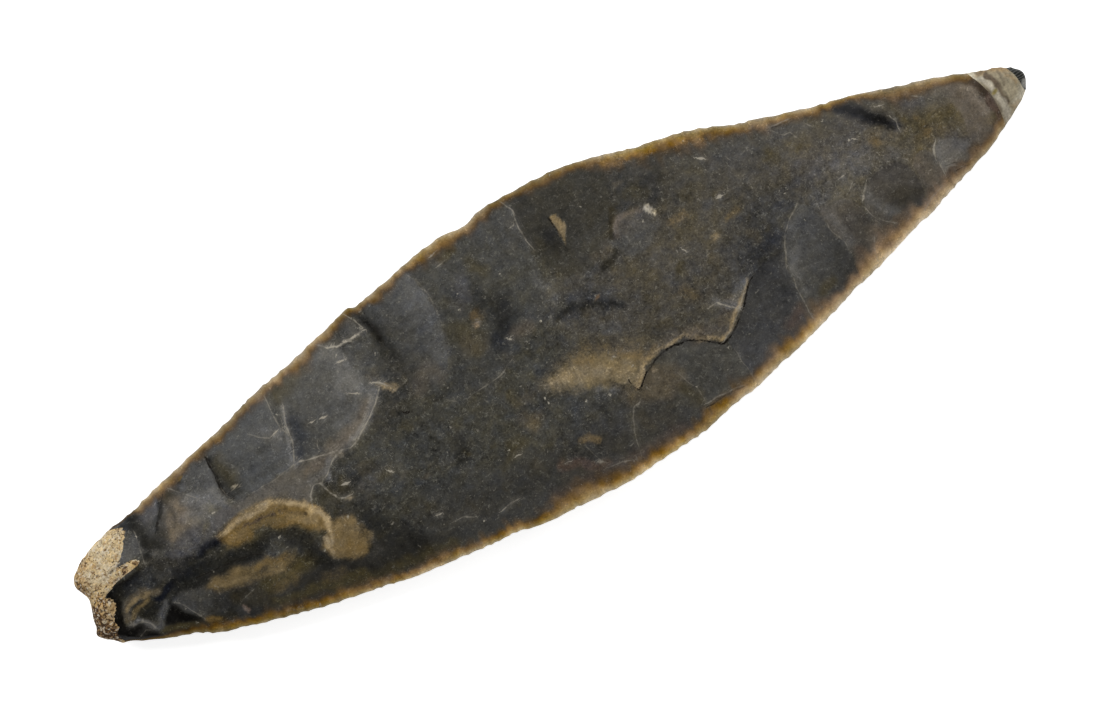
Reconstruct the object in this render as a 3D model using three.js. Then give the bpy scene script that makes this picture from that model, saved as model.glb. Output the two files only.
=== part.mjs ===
// A knapped chert blade: a long leaf of grey chert, flaked over both faces down to a sharp edge all
// round. It is one stone. The butt still carries the chalky rind of the nodule, and the point runs into a
// pale, banded zone that ends in a fleck of black chert. Each kind of stone is a solid of its own, and
// they meet face to face.
//
// Millimetres. +X runs from the butt to the point, +Z is up, and the flat that the blade lies on is at
// zero. A share along is a part of half the length, and a share across is a part of half the width, both
// from the middle.

import * as THREE from "three";

// Driving dimensions
const bladeLength = 210;
const bladeWidth = 60.4;
const upperRise = 5.7;
const lowerDepth = 5.3;
const restFlatDepth = 0.4;
const buttRounding = 3.6;
const tipRounding = 2.4;
const edgeWave = 0.35;
const edgeWaveLength = 41;
const edgeNick = 0.3;
const edgeNickLength = 7.3;
const edgeBevel = 2.6;

// How far the flakes bit in, and how wide the curved wall of a scar is
const deepScar = 0.85;
const midScar = 0.55;
const shallowScar = 0.3;
const scarWall = 3.2;
const retouchScar = 0.4;
const retouchWall = 1.3;
const stepDrop = 0.7;
const stepWall = 0.35;
const stepRun = 9;

// The upper and lower sections, from a flat crown to a thin edge: one less the distance from the middle
// to a power
const upperPower = 2.9;
const lowerPower = 2.5;

// Scars never take more than these shares of the stone between a face and the height of its cutting edge
const leastRiseShare = 0.35;
const mostBiteShare = 0.65;

// The lattice that carries the faces
const cortexColumnCount = 6;
const bodyColumnCount = 88;
const paleTipColumnCount = 5;
const fleckColumnCount = 2;
const rowCount = 26;
const edgeCrowding = 0.45;
const snapShare = 0.38;

const halfLength = bladeLength / 2;
const halfWidth = bladeWidth / 2;
const edgeHeight = lowerDepth - restFlatDepth;

// The outline seen from above: a share along, then a share across
const upperEdgeShares = [
  [-1, 0.28], [-0.95, 0.33], [-0.9, 0.39], [-0.8, 0.465], [-0.7, 0.54], [-0.6, 0.625], [-0.5, 0.71],
  [-0.4, 0.785], [-0.3, 0.865], [-0.2, 0.905], [-0.1, 0.955], [-0.04, 0.95], [0, 0.985], [0.1, 1],
  [0.2, 0.95], [0.3, 0.86], [0.4, 0.775], [0.5, 0.64], [0.6, 0.53], [0.7, 0.435], [0.8, 0.33],
  [0.9, 0.205], [0.96, 0.132], [0.98, 0.09], [1, 0.06],
];
const lowerEdgeShares = [
  [-1, -0.24], [-0.965, -0.275], [-0.9, -0.375], [-0.8, -0.53], [-0.7, -0.64], [-0.6, -0.73], [-0.5, -0.8],
  [-0.4, -0.86], [-0.3, -0.91], [-0.2, -0.955], [-0.1, -0.985], [0, -1], [0.1, -0.985], [0.2, -0.925],
  [0.3, -0.865], [0.4, -0.79], [0.5, -0.69], [0.6, -0.605], [0.7, -0.495], [0.8, -0.395], [0.9, -0.27],
  [0.96, -0.165], [0.985, -0.1], [1, -0.05],
];

// Lines across the blade, from the lower edge at 0 to the upper edge at 1, each with its share along
const buttEndShares = [
  [0, -0.963], [0.08, -0.978], [0.15, -0.994], [0.25, -1], [0.37, -0.993], [0.5, -0.984], [0.62, -0.981],
  [0.74, -0.985], [0.84, -0.988], [0.92, -0.982], [1, -0.955],
];
const cortexLineShares = [
  [0, -0.955], [0.14, -0.957], [0.28, -0.95], [0.42, -0.94], [0.52, -0.935], [0.6, -0.895], [0.68, -0.862],
  [0.76, -0.885], [0.88, -0.866], [1, -0.872],
];
const paleLineShares = [[0, 0.924], [0.25, 0.929], [0.5, 0.926], [0.75, 0.919], [1, 0.908]];
const fleckLineShares = [[0, 0.985], [0.35, 0.983], [0.7, 0.984], [1, 0.976]];
const tipEndShares = [[0, 0.99], [0.2, 0.997], [0.45, 1], [0.75, 0.995], [1, 0.981]];

// Share of the full rise or depth at each share along
const upperRiseShares = [
  [-1, 0.62], [-0.9, 0.72], [-0.75, 0.86], [-0.45, 1], [0.1, 1], [0.45, 0.86], [0.7, 0.64],
  [0.88, 0.42], [1, 0.3],
];
const lowerDepthShares = [
  [-1, 0.55], [-0.9, 0.68], [-0.7, 0.86], [-0.4, 1], [0.35, 1], [0.6, 0.82], [0.8, 0.58],
  [0.92, 0.4], [1, 0.28],
];

// Flake scars on the upper face. Each is the closed ridge line round one scar, and runs off the edge it
// was struck from.
const upperScars = [
  {
    depth: deepScar,
    shares: [
      [-0.66, 0.73], [-0.663, 0.51], [-0.667, 0.36], [-0.672, 0.25], [-0.667, 0.185], [-0.653, 0.155],
      [-0.61, 0.152], [-0.57, 0.152], [-0.524, 0.179], [-0.51, 0.3], [-0.507, 0.41], [-0.514, 0.56],
      [-0.514, 0.83],
    ],
  },
  {
    depth: deepScar,
    shares: [
      [-0.495, 0.86], [-0.495, 0.645], [-0.49, 0.53], [-0.502, 0.43], [-0.509, 0.325], [-0.524, 0.179],
      [-0.476, 0.139], [-0.42, 0.086], [-0.39, 0.132], [-0.362, 0.2], [-0.333, 0.285], [-0.318, 0.338],
      [-0.33, 0.43], [-0.341, 0.56], [-0.343, 0.69], [-0.378, 0.77], [-0.38, 0.93],
    ],
  },
  {
    depth: shallowScar,
    shares: [
      [-0.724, 0.05], [-0.667, 0.086], [-0.59, 0.05], [-0.552, -0.05], [-0.533, -0.113], [-0.514, -0.01],
      [-0.5, -0.017], [-0.482, 0.01], [-0.47, 0.053], [-0.42, 0.086], [-0.476, 0.139], [-0.524, 0.179],
      [-0.57, 0.152], [-0.653, 0.155], [-0.71, 0.165],
    ],
  },
  {
    depth: midScar,
    shares: [
      [-0.379, 0.9], [-0.377, 0.762], [-0.354, 0.699], [-0.333, 0.682], [-0.29, 0.692], [-0.293, 0.755],
      [-0.303, 0.815], [-0.31, 0.86], [-0.31, 0.96],
    ],
  },
  {
    depth: shallowScar,
    shares: [
      [-0.343, 0.68], [-0.341, 0.563], [-0.33, 0.43], [-0.314, 0.344], [-0.29, 0.248], [-0.271, 0.265],
      [-0.267, 0.4], [-0.27, 0.563], [-0.29, 0.69],
    ],
  },
  {
    depth: midScar,
    shares: [
      [-0.274, 0.97], [-0.276, 0.73], [-0.269, 0.563], [-0.267, 0.4], [-0.272, 0.265], [-0.267, 0.106],
      [-0.219, 0.116], [-0.196, 0.166], [-0.171, 0.331], [-0.156, 0.5], [-0.155, 0.662], [-0.162, 0.795],
      [-0.173, 0.877], [-0.177, 1.02],
    ],
  },
  {
    depth: midScar,
    shares: [
      [-0.171, 1.05], [-0.162, 0.795], [-0.155, 0.662], [-0.156, 0.5], [-0.171, 0.331], [-0.196, 0.166],
      [-0.2, 0.033], [-0.19, -0.02], [-0.143, -0.013], [-0.114, 0.013], [-0.08, 0.053], [-0.03, 0.13],
      [0.02, 0.23], [0.048, 0.4], [0.049, 0.66], [0.051, 0.76], [0.055, 0.894], [0.048, 1.1],
    ],
  },
  {
    depth: shallowScar,
    shares: [
      [0.05, 1.1], [0.055, 0.894], [0.049, 0.66], [0.057, 0.46], [0.086, 0.33], [0.133, 0.3],
      [0.171, 0.4], [0.2, 0.546], [0.229, 0.66], [0.238, 0.83], [0.248, 1.05],
    ],
  },
  {
    depth: midScar,
    shares: [
      [-0.762, 0.63], [-0.764, 0.483], [-0.781, 0.4], [-0.796, 0.325], [-0.814, 0.248], [-0.8, 0.1],
      [-0.762, 0.083], [-0.719, 0.132], [-0.695, 0.265], [-0.724, 0.364], [-0.746, 0.447], [-0.749, 0.6],
    ],
  },
  {
    depth: midScar,
    shares: [
      [-0.749, 0.63], [-0.746, 0.447], [-0.724, 0.364], [-0.695, 0.272], [-0.686, 0.166], [-0.67, 0.185],
      [-0.672, 0.25], [-0.667, 0.36], [-0.663, 0.51], [-0.66, 0.7],
    ],
  },
  {
    depth: midScar,
    shares: [
      [-0.86, 0.56], [-0.848, 0.364], [-0.848, 0.298], [-0.855, 0.166], [-0.838, 0.1], [-0.8, 0.106],
      [-0.814, 0.248], [-0.796, 0.325], [-0.781, 0.4], [-0.765, 0.483], [-0.766, 0.6],
    ],
  },
  {
    depth: midScar,
    shares: [
      [-0.953, -0.18], [-0.93, -0.19], [-0.914, -0.225], [-0.903, -0.265], [-0.895, -0.3], [-0.886, -0.5],
      [-0.94, -0.46], [-0.97, -0.33],
    ],
  },
  {
    depth: midScar,
    shares: [
      [-0.888, -0.3], [-0.862, -0.245], [-0.85, -0.2], [-0.84, -0.238], [-0.829, -0.308],
      [-0.819, -0.384], [-0.81, -0.4], [-0.8, -0.62], [-0.876, -0.52],
    ],
  },
  {
    depth: shallowScar,
    shares: [
      [-0.848, -0.2], [-0.82, -0.112], [-0.771, -0.132], [-0.714, -0.152], [-0.667, -0.2],
      [-0.648, -0.265], [-0.667, -0.4], [-0.724, -0.4], [-0.762, -0.414], [-0.814, -0.39],
      [-0.829, -0.305],
    ],
  },
  {
    depth: midScar,
    shares: [
      [-0.762, -0.414], [-0.724, -0.404], [-0.667, -0.4], [-0.59, -0.43], [-0.543, -0.53],
      [-0.495, -0.58], [-0.448, -0.5], [-0.4, -0.53], [-0.386, -0.63], [-0.381, -0.76], [-0.381, -0.98],
      [-0.571, -0.88], [-0.762, -0.68],
    ],
  },
  {
    depth: shallowScar,
    shares: [
      [-0.381, -0.98], [-0.381, -0.66], [-0.386, -0.4], [-0.362, -0.33], [-0.286, -0.4], [-0.21, -0.43],
      [-0.133, -0.46], [-0.095, -0.66], [-0.067, -0.795], [-0.057, -1.1],
    ],
  },
  {
    depth: midScar,
    shares: [
      [-0.114, -0.68], [-0.076, -0.745], [-0.038, -0.84], [0, -0.854], [0.038, -0.92], [0.038, -1.13],
      [-0.133, -1.1],
    ],
  },
  {
    depth: shallowScar,
    shares: [
      [-0.048, -0.58], [-0.01, -0.563], [0.038, -0.546], [0.067, -0.583], [0.052, -0.662],
      [0.043, -0.762], [0.036, -0.91], [0, -0.854], [-0.038, -0.84], [-0.044, -0.695],
    ],
  },
  {
    depth: midScar,
    shares: [
      [0.067, -0.586], [0.09, -0.523], [0.114, -0.45], [0.133, -0.41], [0.152, -0.464], [0.168, -0.53],
      [0.177, -0.63], [0.189, -0.712], [0.19, -0.83], [0.19, -1.1], [0.034, -1.1], [0.036, -0.91],
      [0.043, -0.762], [0.052, -0.662],
    ],
  },
  {
    depth: midScar,
    shares: [
      [0.133, -0.41], [0.162, -0.377], [0.21, -0.384], [0.238, -0.437], [0.272, -0.523], [0.284, -0.662],
      [0.286, -0.83], [0.229, -0.815], [0.19, -0.821], [0.189, -0.712], [0.177, -0.63], [0.168, -0.53],
      [0.152, -0.464],
    ],
  },
  {
    depth: shallowScar,
    shares: [
      [0.19, -0.818], [0.21, -0.808], [0.248, -0.825], [0.276, -0.834], [0.286, -1.09], [0.19, -1.09],
    ],
  },
  {
    depth: deepScar,
    shares: [
      [0.274, -0.523], [0.3, -0.483], [0.333, -0.404], [0.362, -0.298], [0.381, -0.258], [0.419, -0.219],
      [0.46, -0.215], [0.448, -0.315], [0.438, -0.417], [0.435, -0.53], [0.44, -0.69], [0.443, -0.9],
      [0.286, -1.03], [0.286, -0.83], [0.284, -0.662],
    ],
  },
  {
    depth: midScar,
    shares: [
      [0.438, -0.417], [0.448, -0.315], [0.467, -0.166], [0.495, -0.05], [0.519, 0.013], [0.543, -0.066],
      [0.545, -0.265], [0.556, -0.364], [0.558, -0.45], [0.552, -0.6], [0.552, -0.83], [0.443, -0.9],
      [0.44, -0.69], [0.435, -0.53],
    ],
  },
  {
    depth: midScar,
    shares: [
      [0.543, -0.066], [0.571, -0.1], [0.6, -0.116], [0.619, -0.2], [0.615, -0.298], [0.629, -0.397],
      [0.606, -0.444], [0.598, -0.53], [0.59, -0.73], [0.552, -0.8], [0.552, -0.6], [0.558, -0.45],
      [0.556, -0.364], [0.545, -0.265],
    ],
  },
  {
    depth: midScar,
    shares: [
      [0.629, -0.132], [0.648, -0.086], [0.676, -0.066], [0.714, -0.093], [0.733, -0.182],
      [0.735, -0.298], [0.724, -0.417], [0.714, -0.6], [0.61, -0.66], [0.604, -0.444], [0.629, -0.397],
      [0.616, -0.281],
    ],
  },
  {
    depth: shallowScar,
    shares: [
      [0.731, -0.132], [0.752, -0.08], [0.777, -0.1], [0.783, -0.2], [0.779, -0.318], [0.771, -0.53],
      [0.72, -0.563], [0.724, -0.417], [0.735, -0.298],
    ],
  },
  {
    depth: midScar,
    shares: [
      [0.777, -0.1], [0.8, -0.066], [0.829, -0.116], [0.857, -0.2], [0.886, -0.248], [0.886, -0.4],
      [0.8, -0.5], [0.779, -0.318], [0.783, -0.2],
    ],
  },
  {
    depth: shallowScar,
    shares: [
      [0.19, 0.397], [0.205, 0.483], [0.219, 0.53], [0.248, 0.523], [0.27, 0.483], [0.282, 0.424],
      [0.267, 0.298], [0.229, 0.232], [0.195, 0.265],
    ],
  },
  {
    depth: shallowScar,
    shares: [
      [0.286, 1], [0.276, 0.73], [0.295, 0.563], [0.343, 0.4], [0.419, 0.298], [0.495, 0.33],
      [0.533, 0.464], [0.552, 0.66], [0.533, 0.83],
    ],
  },
  {
    depth: shallowScar,
    shares: [
      [0.552, 0.66], [0.543, 0.464], [0.571, 0.33], [0.629, 0.2], [0.686, 0.2], [0.733, 0.166],
      [0.752, 0.232], [0.762, 0.4], [0.724, 0.563],
    ],
  },
  {
    depth: shallowScar,
    shares: [
      [0.752, 0.232], [0.781, 0.1], [0.857, 0.066], [0.9, 0.083], [0.9, 0.35], [0.781, 0.46],
      [0.762, 0.4],
    ],
  },
];

// The long step where the flakes from the lower edge broke off short. The stone is lower on its lower-
// edge side.
const stepLineShares = [
  [0.09, -0.52], [0.114, -0.45], [0.133, -0.41], [0.162, -0.375], [0.21, -0.384], [0.238, -0.437],
  [0.274, -0.523], [0.3, -0.483], [0.333, -0.404], [0.362, -0.298], [0.381, -0.258], [0.42, -0.215],
];

// The underside's scars, struck in turn along both edges, stop short of the flat
const lowerScarCount = 11;
const lowerScarWidthShare = 0.19;
const lowerScarReachShare = 0.54;
const lowerScarSkewShare = 0.035;
const edgeOverrunShare = 0.2;

// A value that follows a list of [place, value] pairs smoothly, and stays level past its ends
function follow(pairs, place) {
  const last = pairs.length - 1;
  if (place <= pairs[0][0]) return pairs[0][1];
  if (place >= pairs[last][0]) return pairs[last][1];
  const at = pairs.findIndex((pair) => pair[0] > place) - 1;
  const slope = (i) => {
    const [before, after] = [pairs[Math.max(i - 1, 0)], pairs[Math.min(i + 1, last)]];
    return (after[1] - before[1]) / (after[0] - before[0]);
  };
  const [[x0, y0], [x1, y1]] = [pairs[at], pairs[at + 1]];
  const span = x1 - x0;
  const t = (place - x0) / span;
  const bend = t * t * (3 - 2 * t);
  return y0 + (y1 - y0) * bend + span * (t * (1 - t) ** 2 * slope(at) - t * t * (1 - t) * slope(at + 1));
}

// A number between 0 and 1 that looks random but is the same each time
const vary = (seed) => Math.abs(Math.sin(seed * 12.9898) * 43758.5453) % 1;

// Nicks left by the finest retouch: arches that meet in points along the edge
const nick = (x, phase) => edgeNick * Math.abs(Math.sin((Math.PI * x) / edgeNickLength + phase));
const upperEdge = (x) => halfWidth * follow(upperEdgeShares, x / halfLength) - nick(x, 0.4);
const lowerEdge = (x) => halfWidth * follow(lowerEdgeShares, x / halfLength) + nick(x, 1.7);
const lineAcross = (shares) => (across) => halfLength * follow(shares, across);
const buttEnd = lineAcross(buttEndShares);
const tipEnd = lineAcross(tipEndShares);

// Where a point lies between the lower edge, 0, and the upper edge, 1
const acrossOf = (x, y) => (y - lowerEdge(x)) / (upperEdge(x) - lowerEdge(x));

// Each scar's outline in millimetres, with the box round it
function outlineOf(shares) {
  const points = shares.map(([along, across]) => [along * halfLength, across * halfWidth]);
  return { points, box: new THREE.Box2().setFromPoints(points.map(([x, y]) => new THREE.Vector2(x, y))) };
}

// A leaf-shaped scar struck from one edge: it widens, then narrows to the place where the flake ran out
function struckScar(along, side, seed) {
  const half = lowerScarWidthShare / 2;
  const edge = side > 0 ? follow(upperEdgeShares, along) : -follow(lowerEdgeShares, along);
  const inner = side * edge * (1 - lowerScarReachShare * (0.75 + 0.4 * vary(seed)));
  const outer = side * (edge + edgeOverrunShare);
  const middle = (inner + outer) / 2;
  const skew = lowerScarSkewShare * (2 * vary(seed + 1) - 1);
  const ring = [
    [along - half, outer], [along - 0.95 * half, middle], [along - 0.6 * half + skew, (inner + middle) / 2],
    [along + skew, inner], [along + 0.7 * half + skew, (inner + middle) / 2], [along + 0.95 * half, middle],
    [along + half, outer],
  ];
  return { depth: vary(seed + 2) > 0.5 ? midScar : deepScar, ...outlineOf(ring) };
}

const upperFaceScars = upperScars.map(({ depth, shares }) => ({ depth, ...outlineOf(shares) }));
const lowerFaceScars = [1, -1].flatMap((side) =>
  Array.from({ length: lowerScarCount }, (_, k) => {
    const along = -0.86 + (1.7 * (k + (side > 0 ? 0.25 : 0.7))) / lowerScarCount;
    return struckScar(along, side, 3.1 * k + side);
  }),
);

function inside(points, x, y) {
  let odd = false;
  points.forEach(([x1, y1], i) => {
    const [x2, y2] = points[(i + 1) % points.length];
    if (y1 > y !== y2 > y && x < x1 + ((x2 - x1) * (y - y1)) / (y2 - y1)) odd = !odd;
  });
  return odd;
}

// A smooth distance in from a closed outline. Each side pulls with the integral of one over the distance
// cubed, and the sum is turned back into a distance, so it is true near a side and has no crease in the
// middle.
function depthInside(points, x, y) {
  let pull = 0;
  points.forEach(([x1, y1], i) => {
    const [x2, y2] = points[(i + 1) % points.length];
    const length = Math.hypot(x2 - x1, y2 - y1);
    const [ux, uy] = [(x2 - x1) / length, (y2 - y1) / length];
    const start = (x1 - x) * ux + (y1 - y) * uy;
    const off = Math.max(Math.abs((x1 - x) * uy - (y1 - y) * ux), 1e-4 * length);
    const end = start + length;
    pull += (end / Math.hypot(end, off) - start / Math.hypot(start, off)) / off ** 2;
  });
  return Math.sqrt(2 / pull);
}

// What all scars of one face take off at a point: each has a curved wall at its ridge line, and a nearly
// level floor
function scarDrop(scars, x, y) {
  const point = new THREE.Vector2(x, y);
  let drop = 0;
  for (const { depth, points, box } of scars)
    if (box.containsPoint(point) && inside(points, x, y))
      drop += depth * (1 - Math.exp(-depthInside(points, x, y) / scarWall));
  return drop;
}

// The nearest point on a run of straight pieces, how far along the run it is, and on which side of it the
// place lies: positive on the right
function nearestOnLine(points, x, y, closed) {
  let best = { distance: Infinity };
  const pieces = closed ? points.length : points.length - 1;
  for (let i = 0; i < pieces; i++) {
    const [[x1, y1], [x2, y2]] = [points[i], points[(i + 1) % points.length]];
    const [dx, dy] = [x2 - x1, y2 - y1];
    const t = THREE.MathUtils.clamp(((x - x1) * dx + (y - y1) * dy) / (dx * dx + dy * dy), 0, 1);
    const foot = [x1 + t * dx, y1 + t * dy];
    const distance = Math.hypot(x - foot[0], y - foot[1]);
    const side = Math.sign((x - x1) * dy - (y - y1) * dx);
    if (distance < best.distance) best = { distance, foot, side, along: (i + t) / pieces };
  }
  return best;
}

const stepLine = outlineOf(stepLineShares).points;

// The step drops sharply on its low side, runs out over a few millimetres, and dies away at both ends
function stepDropAt(x, y) {
  const { distance, side, along } = nearestOnLine(stepLine, x, y, false);
  if (side < 0) return 0;
  const fade = Math.sqrt(Math.sin(Math.PI * along));
  return stepDrop * fade * (1 - Math.exp(-distance / stepWall)) * Math.exp(-distance / stepRun);
}

// Rise from nothing to one over a rounded end
function rounding(distance, radius) {
  const left = 1 - THREE.MathUtils.clamp(distance / radius, 0, 1);
  return Math.sqrt(1 - left * left);
}

// Small retouch scars in a row along each edge, between the edge and the inner end of the bevel
function retouchDrop(x, fromEdge, phase) {
  const arch = Math.abs(Math.sin((Math.PI * x) / edgeNickLength + phase));
  const inward = THREE.MathUtils.clamp(1 - fromEdge / (edgeBevel + retouchWall), 0, 1);
  return retouchScar * arch * inward * (1 - inward) * 4;
}

// The cutting edge wanders a little up and down along each side
const waver = (x, phase) => edgeWave * Math.sin((2 * Math.PI * x) / edgeWaveLength + phase);

// Where the cutting edge stands at a point, how far the face may stand off it there, and how far in the
// scars reach
function station(x, y) {
  const across = THREE.MathUtils.clamp(acrossOf(x, y), 0, 1);
  const fromEdge = Math.min(y - lowerEdge(x), upperEdge(x) - y);
  const [fromButt, fromTip] = [x - buttEnd(across), tipEnd(across) - x];
  return {
    offMiddle: Math.abs(2 * across - 1),
    edge: edgeHeight + THREE.MathUtils.lerp(waver(x, 0.9), waver(x, 2.6), across),
    fromEdge,
    ends: Math.min(rounding(fromButt, buttRounding), rounding(fromTip, tipRounding)),
    bite: THREE.MathUtils.clamp(Math.min(fromEdge, fromButt, fromTip) / edgeBevel, 0, 1),
  };
}

function upperFace(x, y) {
  const { offMiddle, edge, fromEdge, ends, bite } = station(x, y);
  const crown = upperRise * follow(upperRiseShares, x / halfLength) * (1 - offMiddle ** upperPower) * ends;
  const taken = scarDrop(upperFaceScars, x, y) + stepDropAt(x, y) + retouchDrop(x, fromEdge, 0.4);
  return edge + Math.max(crown - taken * bite, crown * leastRiseShare);
}

function lowerFace(x, y) {
  const { offMiddle, edge, ends, bite } = station(x, y);
  const share = follow(lowerDepthShares, x / halfLength);
  const face = Math.max(edge - lowerDepth * share * (1 - offMiddle ** lowerPower) * ends, 0);
  return face + Math.min(scarDrop(lowerFaceScars, x, y) * bite, (edge - face) * mostBiteShare);
}

// A point of the lattice that lies close to a ridge line is moved onto it, so that the ridge stays crisp.
// The move is counted in steps of the lattice, along and across.
function snapped(scars, x, y, columnStep, rowStep) {
  let best = { move: snapShare, foot: [x, y] };
  for (const { points } of scars) {
    const { foot } = nearestOnLine(points, x, y, true);
    const move = Math.hypot((foot[0] - x) / columnStep, (foot[1] - y) / rowStep);
    if (move < best.move) best = { move, foot };
  }
  return best.foot;
}

// The lattice: lines across the blade at the ends and between the kinds of stone, with columns spread
// between them
const zoneLines = [
  buttEnd, lineAcross(cortexLineShares), lineAcross(paleLineShares), lineAcross(fleckLineShares), tipEnd,
];
const zoneColumns = [cortexColumnCount, bodyColumnCount, paleTipColumnCount, fleckColumnCount];
const rowShare = (row) => {
  const t = row / rowCount;
  return t - (edgeCrowding * Math.sin(2 * Math.PI * t)) / (2 * Math.PI);
};

function latticePoint(zone, column, row, face, scars) {
  const across = rowShare(row);
  const t = column / zoneColumns[zone];
  let x = THREE.MathUtils.lerp(zoneLines[zone](across), zoneLines[zone + 1](across), t);
  let y = THREE.MathUtils.lerp(lowerEdge(x), upperEdge(x), across);
  const onRim = row === 0 || row === rowCount;
  const [atStart, atEnd] = [column === 0, column === zoneColumns[zone]];
  const onEnd = (atStart && zone === 0) || (atEnd && zone === zoneColumns.length - 1);
  if (onRim || onEnd) return new THREE.Vector3(x, y, station(x, y).edge);
  const rowStep = ((rowShare(row + 1) - rowShare(row - 1)) / 2) * (upperEdge(x) - lowerEdge(x));
  const columnStep = bladeLength / bodyColumnCount;
  if (!atStart && !atEnd && zone === 1) [x, y] = snapped(scars, x, y, columnStep, rowStep);
  return new THREE.Vector3(x, y, face(x, y));
}

// One kind of stone: its stretch of the upper face, of the lower face, and a wall at each line that it
// shares
function zoneSolid(zone) {
  const columns = zoneColumns[zone];
  const faces = [
    { face: upperFace, scars: upperFaceScars },
    { face: lowerFace, scars: lowerFaceScars },
  ].map(({ face, scars }) => ({
    face,
    grid: Array.from({ length: columns + 1 }, (_, column) =>
      Array.from({ length: rowCount + 1 }, (_, row) => latticePoint(zone, column, row, face, scars)),
    ),
  }));
  const corners = [];
  const triangle = (a, b, c) => {
    const collapsed = a.equals(b) || b.equals(c) || c.equals(a);
    if (!collapsed) corners.push(a, b, c);
  };
  // Of the two ways to split a four-sided cell, the one that lies nearer the true surface is taken
  faces.forEach(({ face, grid }, side) => {
    for (let i = 0; i < columns; i++)
      for (let j = 0; j < rowCount; j++) {
        const [a, b, c, d] = [grid[i][j], grid[i + 1][j], grid[i + 1][j + 1], grid[i][j + 1]];
        const centre = new THREE.Vector3().add(a).add(b).add(c).add(d).divideScalar(4);
        const height = face(centre.x, centre.y);
        const splitOnAC = Math.abs((a.z + c.z) / 2 - height) <= Math.abs((b.z + d.z) / 2 - height);
        const halves = splitOnAC ? [[a, b, c], [a, c, d]] : [[a, b, d], [b, c, d]];
        for (const [p, q, r] of halves) triangle(...(side === 0 ? [p, q, r] : [p, r, q]));
      }
  });
  const [upper, lower] = faces.map(({ grid }) => grid);
  for (const [column, turned] of [[0, false], [columns, true]])
    for (let j = 0; j < rowCount; j++) {
      const [a, b] = [upper[column][j], upper[column][j + 1]];
      const [c, d] = [lower[column][j], lower[column][j + 1]];
      for (const [p, q, r] of [[a, b, c], [b, d, c]]) triangle(...(turned ? [p, r, q] : [p, q, r]));
    }
  return new THREE.BufferGeometry().setFromPoints(corners);
}

function stone(name, zone, color, roughness) {
  const material = new THREE.MeshStandardMaterial({ color, roughness, metalness: 0 });
  const mesh = new THREE.Mesh(zoneSolid(zone), material);
  mesh.name = name;
  mesh.geometry.computeVertexNormals();
  return mesh;
}

const blade = new THREE.Group();
blade.add(
  stone("cortex_butt", 0, 0xb09570, 0.95),
  stone("chert_body", 1, 0x42403c, 0.45),
  stone("pale_tip", 2, 0x817965, 0.6),
  stone("tip_dark_fleck", 3, 0x30302e, 0.35),
);

export default blade;
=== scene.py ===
import math

import bpy
import numpy as np
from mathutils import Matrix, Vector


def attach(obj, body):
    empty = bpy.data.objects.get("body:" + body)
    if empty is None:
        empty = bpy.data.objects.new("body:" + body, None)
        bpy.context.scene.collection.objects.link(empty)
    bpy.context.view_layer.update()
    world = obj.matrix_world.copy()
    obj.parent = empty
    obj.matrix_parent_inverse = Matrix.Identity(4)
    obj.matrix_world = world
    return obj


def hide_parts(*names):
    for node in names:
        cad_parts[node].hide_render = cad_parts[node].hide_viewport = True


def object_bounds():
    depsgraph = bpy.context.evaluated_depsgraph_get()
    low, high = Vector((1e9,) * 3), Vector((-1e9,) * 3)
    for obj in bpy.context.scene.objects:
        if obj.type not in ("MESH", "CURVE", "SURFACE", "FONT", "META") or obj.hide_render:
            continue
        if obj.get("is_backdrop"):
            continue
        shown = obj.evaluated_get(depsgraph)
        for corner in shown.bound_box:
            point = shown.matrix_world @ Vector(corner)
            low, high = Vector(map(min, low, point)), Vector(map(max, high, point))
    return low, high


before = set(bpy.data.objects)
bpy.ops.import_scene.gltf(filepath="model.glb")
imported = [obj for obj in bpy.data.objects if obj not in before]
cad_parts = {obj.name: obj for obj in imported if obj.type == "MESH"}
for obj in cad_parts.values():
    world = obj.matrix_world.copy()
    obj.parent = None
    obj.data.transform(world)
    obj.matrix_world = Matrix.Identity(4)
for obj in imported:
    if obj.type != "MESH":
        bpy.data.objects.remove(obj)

cad_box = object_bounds()

# Chert body
#
# The real piece is one long leaf of dark grey, waxy chert, struck out of a nodule. Flakes were driven off it
# from both edges, and each left a shallow, slightly hollow scar with a thin ridge, the arris, round it.

# Places on the blade are in millimetres from its middle, along and across, and the frame sets their size
blade_length_in_mm = 210
mm = (cad_box[1][0] - cad_box[0][0]) / blade_length_in_mm

# The leaf outline, the upper edge and then the lower one: the place along, then across
upper_edge = [
    (-105, 8), (-100.8, 9.6), (-98.7, 10.4), (-96.6, 11.2), (-92.4, 12.3), (-88.2, 12.9), (-86.1, 13.2),
    (-84, 14), (-79.8, 15), (-75.6, 15.9), (-71.4, 17), (-67.2, 17.8), (-63, 18.9), (-58.8, 20.1),
    (-54.6, 21.3), (-50.4, 22), (-46.2, 22.8), (-42, 23.8), (-37.8, 24.7), (-33.6, 25.8), (-31.6, 26.3),
    (-29.8, 25.9), (-25.2, 26.7), (-21, 27.4), (-16.8, 28.3), (-12.6, 29), (-8.4, 29.3), (-4.2, 28.8),
    (0, 29.9), (4.2, 30.1), (8.4, 29.9), (12.6, 29.9), (16.8, 29.5), (21, 28.7), (25.2, 27.7), (29.4, 26.4),
    (33.6, 25.3), (37.8, 24.4), (42, 23.5), (46.2, 22.1), (50.4, 20.1), (54.6, 18.8), (58.8, 17.4),
    (63, 16.1), (67.2, 14.9), (71.4, 13.9), (75.6, 12.6), (79.8, 11.2), (84, 9.9), (88.2, 8.6), (92.4, 7.1),
    (96.6, 5.3), (100.8, 3.9), (102.9, 2.7), (105, 2),
]
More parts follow.
